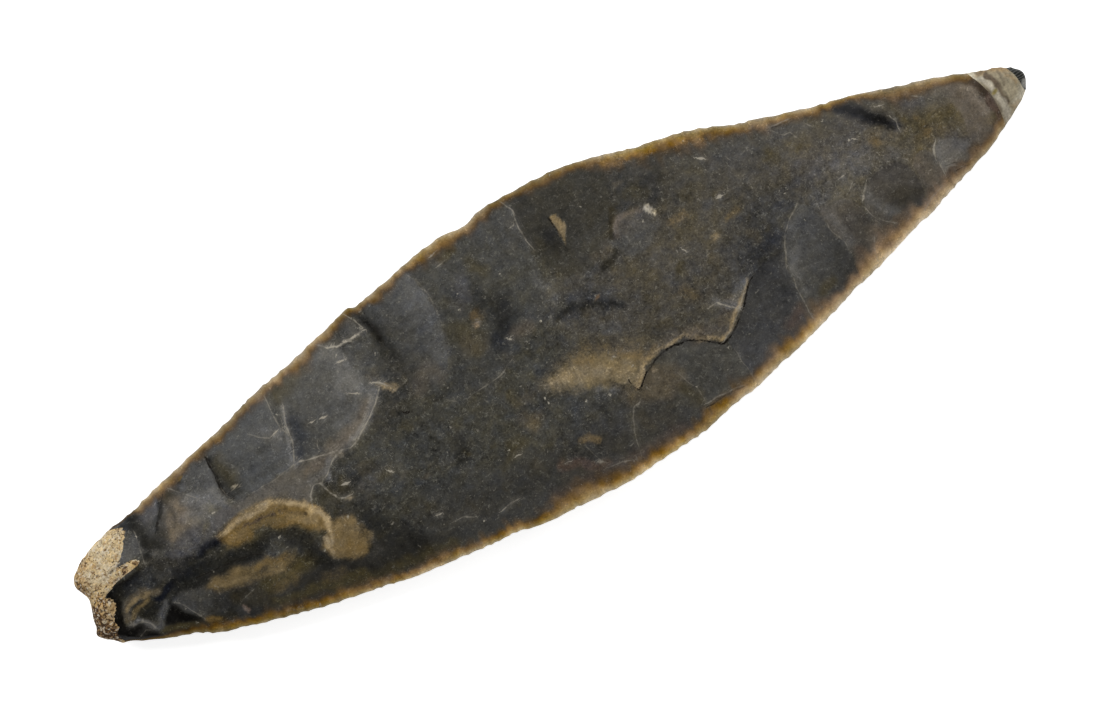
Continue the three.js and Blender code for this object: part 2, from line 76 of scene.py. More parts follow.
lower_edge = [
    (-105, -7), (-101.6, -8.2), (-98.7, -9.4), (-94.5, -11.3), (-90.3, -13), (-88.2, -13.7), (-84, -16),
    (-79.8, -17.2), (-75.6, -18.6), (-71.4, -19.8), (-67.2, -20.9), (-63, -22), (-58.8, -22.8),
    (-54.6, -23.6), (-50.4, -24.5), (-46.2, -25.4), (-42, -26), (-37.8, -26.5), (-33.6, -27.1),
    (-29.4, -27.6), (-25.2, -27.8), (-21, -28.7), (-16.8, -29.3), (-12.6, -29.5), (-8.4, -29.9), (0, -30.3),
    (4.2, -30), (8.4, -29.7), (12.6, -29.5), (16.8, -29.2), (21, -28.2), (25.2, -27.4), (29.4, -26.9),
    (33.6, -25.8), (37.8, -24.9), (42, -23.9), (46.2, -22.7), (50.4, -21.6), (54.6, -20.2), (58.8, -19.2),
    (63, -18.2), (67.2, -16.8), (71.4, -15.5), (75.6, -14.6), (79.8, -13.2), (84, -11.9), (88.2, -10.6),
    (92.4, -9.1), (96.6, -7.1), (100.8, -4.9), (102.9, -3.6), (105, -1.9),
]

# Lines across the blade: the share of the way from the lower to the upper edge, then the place along
butt_end = [
    (0, -101.3), (0.06, -103), (0.12, -104.6), (0.17, -105), (0.26, -104.4), (0.37, -104.1), (0.46, -103.6),
    (0.55, -103.1), (0.62, -102.9), (0.72, -103.4), (0.82, -103.95), (0.89, -103.8), (0.945, -103),
    (1, -101.2),
]
cortex_line = [
    (0, -100.8), (0.05, -101.1), (0.106, -101), (0.17, -100.7), (0.25, -100.6), (0.342, -99.7),
    (0.397, -99.1), (0.444, -98.8), (0.49, -99.2), (0.526, -99.4), (0.567, -98), (0.589, -96.8),
    (0.612, -95), (0.626, -92.7), (0.647, -91.2), (0.68, -90.8), (0.692, -91.4), (0.703, -93.6),
    (0.712, -95.2), (0.722, -94.1), (0.742, -93.4), (0.786, -92.6), (0.824, -92.2), (0.863, -91.6),
    (0.9, -90.5), (0.941, -90.6), (0.97, -91.4), (1, -92.6),
]
pale_line = [(0, 96.9), (0.12, 97.1), (0.28, 97.3), (0.45, 97.4), (0.6, 97.2), (0.8, 96.5), (1, 95.4)]
fleck_line = [(0, 103.6), (0.2, 103.4), (0.42, 103.4), (0.7, 103.2), (0.9, 102.8), (1, 102.5)]
tip_end = [(0, 103.9), (0.2, 104.7), (0.45, 105), (0.7, 104.85), (0.88, 104.3), (1, 103.3)]

# The height of the cutting edge, how far the upper face rises over it and the underside sinks below it, and
# the share of those that each place along the blade has
edge_height = 4.9
upper_rise = 5.7
lower_depth = 5.3
upper_rise_shares = [
    (-105, 0.62), (-94.5, 0.72), (-78.7, 0.86), (-47.2, 1), (10.5, 1), (47.2, 0.86), (73.5, 0.64),
    (92.4, 0.42), (105, 0.3),
]
lower_depth_shares = [
    (-105, 0.55), (-94.5, 0.68), (-73.5, 0.86), (-42, 1), (36.7, 1), (63, 0.82), (84, 0.58), (96.6, 0.4),
    (105, 0.28),
]


def follow(pairs, place):
    """A smooth curve through [place, value] pairs. Between two pairs it is the cubic that passes through
    both and whose slope at each is that of the straight line through its two neighbours."""
    places, values = np.array(pairs, float).T
    last = len(places) - 1
    before, after = np.maximum(np.arange(last + 1) - 1, 0), np.minimum(np.arange(last + 1) + 1, last)
    slopes = (values[after] - values[before]) / (places[after] - places[before])
    place = np.clip(place, places[0], places[-1])
    i = np.clip(np.searchsorted(places, place, side="right") - 1, 0, last - 1)
    span = places[i + 1] - places[i]
    t = (place - places[i]) / span
    bend = values[i] + (values[i + 1] - values[i]) * t * t * (3 - 2 * t)
    return bend + span * (slopes[i] * t * (1 - t) ** 2 - slopes[i + 1] * t * t * (1 - t))


def smooth_step(low, high, value):
    """0 below low, 1 above high, and between them three times the square of the share less twice its cube."""
    t = np.clip((value - low) / (high - low), 0, 1)
    return t * t * (3 - 2 * t)


# The random heights of the noise below: how many squares its net has each way, and where it starts
wave_cells = 64
wave_start = (31.7, 17.3)


def waves(x, y, size, seed):
    """Smooth noise from -1 to 1: random heights at the corners of a square net of that size, blended
    between the corners by the smooth step of the place within the square."""
    heights = np.random.default_rng(seed).uniform(-1, 1, (wave_cells, wave_cells))
    u, v = x / size + wave_start[0] + seed, y / size + wave_start[1]
    i, j = np.floor(u).astype(int), np.floor(v).astype(int)
    s, t = smooth_step(0, 1, u - i), smooth_step(0, 1, v - j)
    corner = lambda a, b: heights[(i + a) % wave_cells, (j + b) % wave_cells]
    near = corner(0, 0) * (1 - s) + corner(1, 0) * s
    far = corner(0, 1) * (1 - s) + corner(1, 1) * s
    return near * (1 - t) + far * t


def layered(x, y, layers):
    """The sum of several waves, each with its height, its size and its seed."""
    return sum(height * waves(x, y, size, seed) for height, size, seed in layers)


# Retouch: tiny flakes pressed off along each edge, one beside the other, leave bites of uneven width
bite_width = (1.2, 4.2)
bite_depth = (0.04, 0.30)
bite_reach = (0.8, 2.6)
bite_count = 100
first_bite = -110


def retouch_row(seed):
    """Where each bite along one edge starts, how deep it is and how far its scar runs in."""
    pick = np.random.default_rng(seed)
    starts = first_bite + np.cumsum(pick.uniform(*bite_width, bite_count))
    return starts, pick.uniform(*bite_depth, bite_count), pick.uniform(*bite_reach, bite_count)


def bite_at(row, x):
    """Each bite is an arch: four times the share along it times what is left. Gives depth, arch and reach."""
    starts, depths, reaches = row
    k = np.clip(np.searchsorted(starts, x, side="right") - 1, 0, len(starts) - 2)
    t = np.clip((x - starts[k]) / (starts[k + 1] - starts[k]), 0, 1)
    arch = 4 * t * (1 - t)
    return depths[k] * arch, arch, reaches[k]


upper_retouch = retouch_row(3)
lower_retouch = retouch_row(8)


def upper_rim(x):
    """The upper edge across, less the depth of the bite there."""
    return follow(upper_edge, x) - bite_at(upper_retouch, x)[0]


def lower_rim(x):
    """The lower edge across, plus the depth of the bite there."""
    return follow(lower_edge, x) + bite_at(lower_retouch, x)[0]


def flake_scar(depth, tone, cover, ring, struck=None, painted_light_lean=(0, 0)):
    """One scar: how deep the flake bit, the colour of its floor and how strongly that shows, the ridge line
    round it, the place on the edge that it was struck from, where ripples spread from, and by how much its
    floor gets lighter with each millimetre along and across. The floor colour is partly the stone's own and
    partly painted light and shade for how the facet faces the lamps; the lean is painted light, a gradient
    across the hollow."""
    return dict(depth=depth, tone=tone, cover=cover, ring=ring, struck=struck, painted_light_lean=painted_light_lean)


# Flake scars on the upper face
upper_scars = [flake_scar(*values) for values in (
    (0.85, (0.062, 0.062, 0.059), 0.8, [
        (-68.9, 21.8), (-69.2, 15.2), (-69.6, 10.7), (-70, 7.2), (-69.5, 5.4), (-68.3, 4.6), (-63.9, 4.5),
        (-59.8, 4.5), (-55.1, 5.1), (-53.8, 8.4), (-53.3, 10.1), (-53.9, 13.1), (-54, 16.6),
        (-54, 25)], (-61, 19.6), (0.012, -0.012)),
    (0.85, (0.08, 0.078, 0.072), 0.85, [
        (-52.2, 26), (-52, 19.1), (-51.5, 15.8), (-52.6, 12.6), (-53.3, 9.4), (-55, 5.1), (-50, 4.1),
        (-44.1, 2.5), (-41, 3.9), (-38, 5.7), (-35, 8.1), (-33.5, 9.8), (-34.6, 12.6), (-35.8, 16.6),
        (-36.2, 20.6), (-39.4, 22.9), (-39.9, 28)], (-47, 21.8), (0.019, 0)),
    (0.3, (0.052, 0.052, 0.05), 0.7, [
        (-54, 25), (-54, 16.6), (-53.9, 13.1), (-53.3, 10.1), (-52.6, 12.6), (-51.5, 15.8), (-52, 19.1),
        (-52.2, 26)]),
    (0.3, (0.1, 0.089, 0.074), 0.85, [
        (-75.5, 1.2), (-69.6, 2.4), (-62, 1.5), (-58, -1.5), (-56, -3.4), (-55.4, -1.6), (-54, -0.3),
        (-52.6, -0.6), (-50.6, 0.3), (-49.4, 1.6), (-47.6, 2.6), (-44.1, 2.6), (-50, 4.1), (-55, 5.1),
        (-59.8, 4.5), (-68.3, 4.5), (-74, 4.7)]),
    (0.55, (0.062, 0.059, 0.053), 0.7, [
        (-39.9, 27), (-39.4, 22.9), (-37.2, 20.8), (-35, 20.3), (-30.5, 20.6), (-31, 22.9), (-31.9, 24.8),
        (-32.5, 26), (-32.5, 29)], (-35, 25), (0.03, 0)),
    (0.3, (0.062, 0.061, 0.057), 0.5, [
        (-36, 20.3), (-35.8, 16.6), (-34.6, 12.6), (-33, 10), (-30.4, 7.1), (-29, 8.6), (-28.6, 11.7),
        (-28.8, 16.6), (-30.4, 20.5)], None, (-0.09, 0)),
    (0.55, (0.06, 0.06, 0.058), 0.7, [
        (-28.8, 29.3), (-29, 21.8), (-28.4, 16.6), (-28, 11.7), (-28.4, 7.6), (-27.6, 3.4), (-23, 3.6),
        (-20.8, 5), (-18.2, 9.6), (-16.6, 14.7), (-16.5, 19.6), (-17.1, 24), (-18.2, 26.5),
        (-18.6, 31)], (-24, 27), (0.05, 0.012)),
    (0.55, (0.053, 0.052, 0.048), 0.5, [
        (-18, 31.7), (-17.1, 24), (-16.5, 19.6), (-16.6, 14.7), (-18.2, 9.6), (-20.8, 5), (-21, 1),
        (-19.9, -0.6), (-15, -0.3), (-12, 0.3), (-8.4, 1.6), (-3.1, 3.8), (2.1, 6.5), (4.8, 11.7),
        (5.1, 19.5), (5.4, 22.9), (5.8, 27), (5, 33)], (-6, 29), (0.018, 0)),
    (0.3, (0.037, 0.034, 0.026), 0.6, [
        (5.3, 33), (5.8, 27), (5.1, 19.5), (6, 13.5), (9, 9.6), (14, 8.7), (18, 11.7), (21, 16.1),
        (24, 19.5), (25, 25.1), (26, 31.7)], (14, 30), (0.012, -0.03)),
    (0.55, (0.062, 0.054, 0.045), 0.6, [
        (-79.5, 18.7), (-79.7, 14.3), (-81.5, 11.8), (-83.1, 9.5), (-85, 7.2), (-83.5, 2.7), (-79.5, 2.2),
        (-75, 3.7), (-72.9, 7.7), (-75.3, 9.7), (-76.5, 11.1), (-78.1, 13.1), (-78.3, 17.7)], (-79.5, 15.2)),
    (0.55, (0.072, 0.071, 0.069), 0.7, [
        (-78.3, 18.7), (-78.1, 13.1), (-76.5, 11.1), (-75.3, 9.7), (-72.9, 7.7), (-71.5, 4.7), (-70, 5.3),
        (-70.1, 7.2), (-69.7, 10.7), (-69.3, 15.2), (-68.9, 20.8)], (-73.5, 16.2), (-0.02, -0.05)),
    (0.55, (0.05, 0.051, 0.053), 0.7, [
        (-89.8, 16.7), (-88.3, 10.7), (-88.5, 8.7), (-89.4, 4.7), (-87.5, 2.7), (-83.5, 2.9), (-85, 7.2),
        (-83.1, 9.5), (-81.5, 11.8), (-79.9, 14.3), (-79.9, 17.7)], (-85.5, 12.7), (0.03, 0.06)),
    (0.4, (0.07, 0.07, 0.068), 0.8, [
        (-90.9, 8.3), (-88.9, 9.3), (-88.4, 8.5), (-88.9, 6.7), (-89.4, 5.1), (-93.5, 4.9), (-92.5, 6.3)]),
    (0.55, (0.013, 0.012, 0.011), 0.9, [
        (-100.1, -5.4), (-97.5, -5.8), (-95.6, -7.1), (-94.3, -8.3), (-93.7, -9.6), (-92.5, -15.3),
        (-98.6, -14.1), (-101.8, -10)]),
    (0.55, (0.004, 0.004, 0.003), 0.9, [
        (-92.5, -9.2), (-90.5, -7.9), (-88.8, -6.3), (-87.7, -7.5), (-86.5, -9.6), (-85.5, -11.9),
        (-84.8, -12.4), (-83.5, -19), (-91.5, -16)]),
    (0.3, (0.04, 0.038, 0.035), 0.6, [
        (-88.7, -6.3), (-85.6, -3.7), (-80.5, -4.3), (-74.5, -4.9), (-69.6, -6.2), (-67.7, -8.2),
        (-69.6, -12.3), (-75.5, -12.4), (-79.5, -12.8), (-84.9, -12.1), (-86.1, -10.3), (-87.1, -8.3)]),
    (0.55, (0.03, 0.028, 0.024), 0.5, [
        (-79.5, -12.8), (-75.5, -12.5), (-69.6, -12.3), (-62, -13), (-57, -16), (-52, -17.4), (-47, -15.1),
        (-42, -16), (-40.5, -18.9), (-40, -22.8), (-40, -29.4), (-60, -26.4), (-79.5, -20.8)], (-60, -21.8)),
    (0.3, (0.049, 0.047, 0.041), 0.4, [
        (-40, -29.4), (-40, -19.7), (-40.5, -12.1), (-38, -10), (-30, -12.1), (-22, -13), (-14, -13.9),
        (-10, -19.9), (-7, -24), (-6, -33)], (-26, -27.8)),
    (0.5, (0.055, 0.047, 0.036), 0.5, [
        (-12, -20.5), (-8, -22.5), (-4, -25.2), (0, -26), (4, -27.4), (4, -34), (-14, -33)]),
    (0.3, (0.049, 0.047, 0.044), 0.4, [
        (-5, -17.5), (-1.1, -17), (4, -16.5), (7, -17.6), (5.5, -20), (4.5, -23), (3.8, -27.3), (0, -26),
        (-4, -25.2), (-4.6, -21)]),
    (0.55, (0.052, 0.048, 0.041), 0.6, [
        (7, -17.8), (9.4, -15.9), (12, -13.7), (14, -12.5), (16, -14), (17.6, -16), (18.6, -19),
        (19.8, -21.5), (19.9, -25), (19.9, -33), (3.6, -33), (3.8, -27.3), (4.5, -23),
        (5.5, -20)], (12, -29)),
    (0.55, (0.069, 0.066, 0.058), 0.85, [
        (14, -12.5), (17, -11.5), (22, -11.7), (25, -13.3), (28.6, -15.9), (29.8, -20), (30, -25),
        (26, -24.8), (22, -24.3), (19.9, -24.7), (19.8, -21.5), (18.6, -19), (17.6, -16),
        (16, -14)], (25, -26), (0.02, 0.02)),
    (0.35, (0.075, 0.052, 0.028), 0.6, [
        (19.9, -24.7), (22, -24.3), (26, -24.8), (29.4, -25.2), (30, -33), (19.9, -33)]),
    (0.85, (0.055, 0.054, 0.054), 0.85, [
        (28.8, -15.9), (31.5, -14.7), (35, -12.1), (37.8, -8.8), (39.6, -7.5), (43.5, -6.2), (47.8, -5.8),
        (46.3, -9.3), (46.2, -12.4), (45.8, -16), (46.2, -20.8), (46.5, -27), (30, -31), (30, -25),
        (29.8, -20)], (38, -25), (-0.014, -0.016)),
    (0.55, (0.064, 0.062, 0.058), 0.85, [
        (46.2, -12.4), (46.3, -9.3), (48.3, -5), (51.5, -1.5), (54.5, 0.4), (57, -2), (57.2, -8),
        (58.5, -11), (58.5, -13.6), (58, -18), (58, -25), (46.5, -27), (46.2, -20.8),
        (45.8, -16)], (52, -21), (-0.045, 0.03)),
    (0.5, (0.078, 0.068, 0.056), 0.8, [
        (57, -2), (60, -3), (63, -3.5), (65, -6), (64.6, -9), (65.6, -12), (63.8, -13.2), (62.6, -16.4),
        (62, -22), (58, -24), (58, -18), (58.5, -13.6), (58.5, -11), (57.2, -8)], (60, -19), (-0.07, 0.02)),
    (0.6, (0.068, 0.061, 0.053), 0.85, [
        (65.2, -6.2), (66.4, -4.2), (68, -2.8), (71, -2), (75, -1.9), (77, -4.5), (77.4, -8), (76, -12.6),
        (75, -18), (64, -20), (63.8, -13.2), (65.6, -12), (64.7, -8.5)], (70, -15.5), (-0.045, 0.03)),
    (0.3, (0.094, 0.084, 0.07), 0.8, [
        (77, -4.5), (79, -2.4), (81.6, -3), (82, -6), (81.6, -9.6), (81, -16), (75.6, -17), (76, -12.6),
        (77.4, -8)]),
    # Painted reflection: this scar's pale floor, which faces the lamps, is partly their soft reflection
    (0.5, (0.176, 0.16, 0.132), 0.9, [
        (81.9, -4.8), (83.2, -2.8), (86, -3), (88.5, -5), (89.5, -7.5), (90, -10), (90, -14), (84, -15),
        (81.7, -9.6), (82, -6)], (85, -12), (-0.08, 0.02)),
    (0.2, (0.118, 0.099, 0.077), 0.8, [
        (88.8, 10), (88.4, 6), (89.6, 3), (90.6, -1), (89.6, -4), (89.5, -7.5), (90, -14), (98.5, -10),
        (98.5, 8), (94, 10)], None, (-0.03, 0)),
    (0.35, (0.07, 0.068, 0.063), 0.5, [
        (19.7, 11.2), (21.3, 13.9), (23, 15.5), (25.8, 15.3), (28.2, 14.2), (29.4, 12.5), (28, 8.6),
        (24, 6.6), (20.5, 7.6)]),
    (0.25, (0.066, 0.06, 0.05), 0.3, [
        (30, 30), (29, 21.8), (31, 16.8), (36, 12.1), (44, 9), (52, 10), (56, 14), (58, 20),
        (56, 25)], (43, 22)),
    (0.3, (0.066, 0.061, 0.054), 0.3, [
        (58, 20), (57, 14), (60, 10), (66, 6), (72, 6), (77, 5), (79, 7), (80, 12), (76, 17)], (68, 15)),
    (0.3, (0.088, 0.074, 0.054), 0.4, [
        (79, 7), (82, 3), (90, 2), (94.5, 2.5), (94.5, 10.6), (82, 14), (80, 12)]),
)]

# Small chips with sharp rims
upper_chips = [flake_scar(*values) for values in (
    (0.3, (0.205, 0.152, 0.08), 0.95, [
        (10.9, 22.1), (12.4, 22.3), (13.1, 20.9), (13.8, 19.2), (12.9, 17.5), (12.1, 16.4), (11.5, 15.2),
        (11.6, 17.1), (11.5, 18.9)]),
    (0.15, (0.15, 0.108, 0.08), 0.9, [
        (-77.8, -14.2), (-77.3, -12.9), (-76.7, -13.5), (-76.2, -15.1), (-76.9, -15.3), (-77.1, -16.6),
        (-77.4, -16.3), (-77.2, -15.1)]),
    (0.12, (0.095, 0.07, 0.028), 0.8, [
        (-84.5, -12.8), (-83.1, -12.6), (-81.9, -13.4), (-82.7, -15.1), (-83.9, -14.7)]),
    (0.15, (0.3, 0.26, 0.19), 0.95, [
        (-68.1, 7.7), (-67.5, 7.9), (-66.4, 7.4), (-66.2, 7), (-66.8, 6.7), (-67.9, 7.2)]),
    (0.15, (0.26, 0.21, 0.14), 0.9, [
        (-34.6, 11), (-33.4, 10.9), (-32.5, 10.2), (-31.4, 9.2), (-30.6, 7.8), (-31, 7.4), (-32.2, 8.2),
        (-32.8, 9.4)]),
    (0.12, (0.21, 0.19, 0.16), 0.9, [
        (-56.2, 12.2), (-55.4, 12.6), (-54.7, 12.4), (-55, 11.8), (-55.6, 11.6)]),
    (0.15, (0.24, 0.19, 0.12), 0.9, [
        (-50.2, -5.3), (-48.9, -5), (-48.3, -5.8), (-49, -6.2), (-50, -5.9)]),
    (0.12, (0.19, 0.14, 0.09), 0.8, [
        (-12.2, 11), (-11.2, 11.7), (-10.2, 11.2), (-10.4, 10.6), (-11.4, 10.4)]),
    (0.1, (0.16, 0.1, 0.055), 0.8, [
        (10.7, 4.5), (11.6, 4.7), (12.4, 4.1), (11.8, 3.6), (11, 3.8)]),
    (0.12, (0.4, 0.35, 0.26), 0.95, [
        (27.6, 14.1), (28.4, 14.9), (29.4, 14.5), (29.7, 13.5), (30.3, 12.2), (29.4, 11.5), (28.8, 12.6),
        (28.2, 13.1)]),
    (0.15, (0.22, 0.175, 0.12), 0.9, [
        (8.9, -13.6), (9.4, -13.5), (9.9, -14.9), (11.6, -13.8), (12.4, -13.9), (9.9, -15.9), (9.3, -15.7)]),
    (0.12, (0.24, 0.19, 0.125), 0.9, [
        (13.2, -13.6), (14.6, -13.4), (14.9, -14.2), (13.8, -14.7)]),
    (0.12, (0.15, 0.112, 0.07), 0.7, [
        (-5.2, -18.6), (-3.4, -18.2), (-1.4, -20), (-2.4, -20.4), (-4.6, -19.4)]),
)]

# The underside has its own scars, struck in turn along both edges, short of the middle that it lies on
underside_scar_count = 11
underside_scar_half = 9.5
underside_scar_span = (-90, 88)


def underside_scars():
    """A leaf-shaped ring for each flake: it starts past the edge, widens and narrows to where it ran out."""
    pick = np.random.default_rng(21)
    scars = []
    first, last = underside_scar_span
    for side in (1, -1):
        for k in range(underside_scar_count):
            along = first + (last - first) * (k + (0.25 if side > 0 else 0.7)) / underside_scar_count
            rim = float(follow(upper_edge, along)) if side > 0 else -float(follow(lower_edge, along))
            half = underside_scar_half * pick.uniform(0.85, 1.15)
            reach, skew = pick.uniform(0.44, 0.6), pick.uniform(-3, 3)
            inner, outer = side * rim * (1 - reach), side * (rim + 6)
            middle = (inner + outer) / 2
            grey, painted_light_lean = pick.uniform(0.034, 0.098), pick.uniform(-0.035, 0.035, 2)
            scars.append(flake_scar(
                depth=pick.choice([0.55, 0.85]), tone=(grey, grey * 0.96, grey * 0.86), cover=0.85,
                struck=(along, side * rim), painted_light_lean=painted_light_lean,
                ring=[(along - half, outer), (along - 0.95 * half, middle),
                      (along - 0.6 * half + skew, (inner + middle) / 2), (along + skew, inner),
                      (along + 0.7 * half + skew, (inner + middle) / 2), (along + 0.95 * half, middle),
                      (along + half, outer)]))
    return scars


lower_scars = underside_scars()

# The long step where flakes from the lower edge broke off short; the stone is lower on its lower-edge side
step_line = [
    (8.6, -13), (9.3, -14.8), (9.8, -15.7), (11.4, -14.3), (13, -13.1), (15, -12), (17.5, -11.5), (20, -11.4),
    (22.5, -11.9), (25, -13.3), (28.4, -15.9), (30.5, -15.2), (33, -13.6), (35.5, -11.6), (38, -8.8),
    (40, -7.7), (42, -6.9), (44, -6.4),
]


def rounded_ring(ring):
    """Each corner of a closed outline is cut at a quarter and three quarters of its sides, twice over."""
    ring = np.array(ring, float)
    for _ in range(2):
        onward = np.roll(ring, -1, axis=0)
        ring = np.stack([0.75 * ring + 0.25 * onward, 0.25 * ring + 0.75 * onward], 1).reshape(-1, 2)
    return ring


def nearest_on(points, x, y):
    """For each place, the nearest point on a run of straight pieces: its distance, its foot, the side of the
    run that the place is on, and how far along the run the foot is. The foot is the place's shadow on a
    piece, kept between that piece's ends."""
    start, end = points[:-1], points[1:]
    step = end - start
    offset = np.stack([x, y], -1)[:, None] - start
    t = np.clip((offset * step).sum(-1) / np.maximum((step ** 2).sum(-1), 1e-9), 0, 1)
    foot = start + t[..., None] * step
    gap = np.hypot(x[:, None] - foot[..., 0], y[:, None] - foot[..., 1])
    best = gap.argmin(1)
    row = np.arange(len(x))
    side = np.sign((offset[..., 0] * step[:, 1] - offset[..., 1] * step[:, 0])[row, best])
    return gap[row, best], foot[row, best], side, (best + t[row, best]) / len(start)


def inside_ring(ring, x, y):
    """A place is inside if a line from it towards +X crosses the ring an odd number of times."""
    x1, y1 = ring.T
    x2, y2 = np.roll(ring, -1, axis=0).T
    rise = np.where(y2 == y1, 1e-12, y2 - y1)
    crosses = (y1 > y[:, None]) != (y2 > y[:, None])
    return (crosses & (x[:, None] < x1 + (x2 - x1) * (y[:, None] - y1) / rise)).sum(1) % 2 == 1


def depth_inside(ring, x, y):
    """A smooth distance in from the ring: each side pulls with the integral of one over the distance cubed,
    and twice one over the sum of the pulls, under a root, is the distance."""
    start, end = ring, np.roll(ring, -1, axis=0)
    length = np.hypot(*(end - start).T)
    ux, uy = ((end - start) / length[:, None]).T
    dx, dy = start[:, 0] - x[:, None], start[:, 1] - y[:, None]
    first = dx * ux + dy * uy
    off = np.maximum(np.abs(dx * uy - dy * ux), 1e-4 * length)
    last = first + length
    pull = ((last / np.hypot(last, off) - first / np.hypot(first, off)) / off ** 2).sum(1)
    return np.sqrt(2 / pull)


def near_box(points, x, y, margin=0):
    """Which places lie in the box round the points, with a margin on all sides."""
    low, high = points.min(0) - margin, points.max(0) + margin
    return np.flatnonzero((x > low[0]) & (x < high[0]) & (y > low[1]) & (y < high[1]))


# What a flake leaves: the width of the wall at the rim of a large scar and of a small chip, how far and over
# what length the ridges waver, the ripples, and how much ripples and rays shade the floor, as painted shade
# of their relief in its colour
scar_wall = 3.2
chip_wall = 0.35
ridge_waver = 0.22
ridge_waver_size = 2.6
ripple_length = 2.3
ripple_height = 0.018
ripple_shade = 0.07
ray_shade = 0.13
ray_size = 3.2
rays_round = 60
ray_length = 9


def scar_field(scars, x, y, wall):
    """Depth, colour and cover of all scars of a face. A scar takes off its depth times one less the
    exponential of minus the distance in over its wall. From where it was struck, rings ripple out and rays
    spread, and both also shade its floor with painted shade: a sine of the distance, and noise of the
    direction. The floor also gets lighter along its lean, a painted light gradient."""
    x, y = (x + ridge_waver * waves(x, y, ridge_waver_size, 41),
            y + ridge_waver * waves(x, y, ridge_waver_size, 42))
    drop, cover = np.zeros(len(x)), np.zeros(len(x))
    tone = np.zeros((len(x), 3))
    for scar in scars:
        ring = rounded_ring(scar["ring"])
        near = near_box(ring, x, y)
        near = near[inside_ring(ring, x[near], y[near])]
        if not len(near):
            continue
        inward = depth_inside(ring, x[near], y[near])
        drop[near] += scar["depth"] * (1 - np.exp(-inward / wall))
        shade = np.ones(len(near))
        if scar["struck"]:
            dx, dy = x[near] - scar["struck"][0], y[near] - scar["struck"][1]
            far = np.hypot(dx, dy)
            ripple = np.sin(2 * np.pi * far / ripple_length + waves(x[near], y[near], 9, 5))
            rays = waves(rays_round * np.arctan2(dy, dx), far / ray_length, ray_size, 6)
            drop[near] += ripple_height * ripple * smooth_step(3, 12, far) * smooth_step(0, 1.5, inward)
            shade += (ripple_shade * ripple + ray_shade * rays) * smooth_step(2, 8, far)
        # Painted light: the floor grows lighter on one side and darker on the other along the lean, for how the
        # hollow faces the lamps
        painted_light_lean, middle = scar["painted_light_lean"], ring.mean(0)
        shade *= np.clip(1 + (x[near] - middle[0]) * painted_light_lean[0] + (y[near] - middle[1]) * painted_light_lean[1], 0.5, 1.7)
        share = (scar["cover"] * smooth_step(0, 0.25, inward))[:, None]
        tone[near] = tone[near] * (1 - share) + np.array(scar["tone"]) * shade[:, None] * share
        cover[near] = cover[near] * (1 - share[:, 0]) + share[:, 0]
    return drop, tone, cover


def rounding(distance, radius):
    """A quarter circle: nothing at the end itself, and one from the radius inwards."""
    left = 1 - np.clip(distance / radius, 0, 1)
    return np.sqrt(1 - left * left)


# The rounding at the butt, the point and the edges, how far in from them the scars fade out, and the slow
# wave of the cutting edge: its height, its length and where it starts on the lower and the upper edge
butt_radius, tip_radius, edge_radius = 3.6, 2.4, 0.9
scar_fade = 2.2
edge_wave = 0.35
edge_wave_length = 41
lower_start, upper_start = 0.9, 2.6


def station(x, y):
    """What both faces need at a place: the share of the way across, how far the edge and the ends are, the
    height of the cutting edge, how far off the middle the place is, and how much of the full rise and of
    the scars it may have. The distance off the middle leaves the bites out, so they reach no further in."""
    low, high = lower_rim(x), upper_rim(x)
    across = np.clip((y - low) / (high - low), 0, 1)
    from_edge = np.minimum(y - low, high - y)
    from_butt, from_tip = x - follow(butt_end, across), follow(tip_end, across) - x
    whole_low, whole_high = follow(lower_edge, x), follow(upper_edge, x)
    off_middle = np.abs(2 * (y - whole_low) / (whole_high - whole_low) - 1)
    ends = np.minimum(rounding(from_butt, butt_radius), rounding(from_tip, tip_radius))
    ends = ends * rounding(from_edge, edge_radius)
    phase = x * 2 * np.pi / edge_wave_length
    sway = edge_wave * ((1 - across) * np.sin(phase + lower_start) + across * np.sin(phase + upper_start))
    return dict(
        across=across, from_edge=from_edge, from_butt=from_butt, from_tip=from_tip, edge=edge_height + sway,
        off_middle=np.minimum(off_middle, 1), ends=ends,
        bite=smooth_step(0, scar_fade, np.minimum(np.minimum(from_edge, from_butt), from_tip)))


# How deep the scar behind a bite is: a least depth, and a share of the bite's own
bite_scar_least = 0.05
bite_scar_share = 0.7


def retouch_drop(x, here):
    """Behind each bite a small scar runs in: its arch, times the share of its reach that is left, times
    that share taken from one."""
    drop = np.zeros(len(x))
    for row, near in ((upper_retouch, here["across"] > 0.5), (lower_retouch, here["across"] <= 0.5)):
        depth, arch, reach = bite_at(row, x)
        inward = np.clip(1 - here["from_edge"] / reach, 0, 1)
        drop += near * (bite_scar_least + bite_scar_share * depth) * arch * inward * (1 - inward)
    return drop


# The form of both faces, their slow swells (height, size and seed), the step, and what must stay of the stone
crown_power, belly_power = 2.9, 2.5
upper_sway = ((0.10, 11, 11), (0.045, 3.4, 12), (0.02, 1.3, 13))
lower_sway = ((0.09, 12, 14), (0.045, 3.1, 15))
step_drop, step_wall, step_reach = 0.75, 0.3, 9
crown_left = 0.3
belly_taken = 0.65


def upper_face(x, y):
    """Height of the upper face: the cutting edge, plus a crown of one less a power of the distance from the
    middle, less what the scars, the step and the retouch took."""
    here = station(x, y)
    rise = upper_rise * follow(upper_rise_shares, x)
    crown = rise * (1 - here["off_middle"] ** crown_power) * here["ends"]
    drop = scar_field(upper_scars, x, y, scar_wall)[0] + scar_field(upper_chips, x, y, chip_wall)[0]
    gap, _, side, along = nearest_on(np.array(step_line), x, y)
    low_side = (side > 0) * np.sqrt(np.sin(np.pi * np.clip(along, 0, 1)))
    drop += step_drop * low_side * (1 - np.exp(-gap / step_wall)) * np.exp(-gap / step_reach)
    taken = (drop - layered(x, y, upper_sway)) * here["bite"] + retouch_drop(x, here)
    return here["edge"] + np.maximum(crown - taken, crown * crown_left)


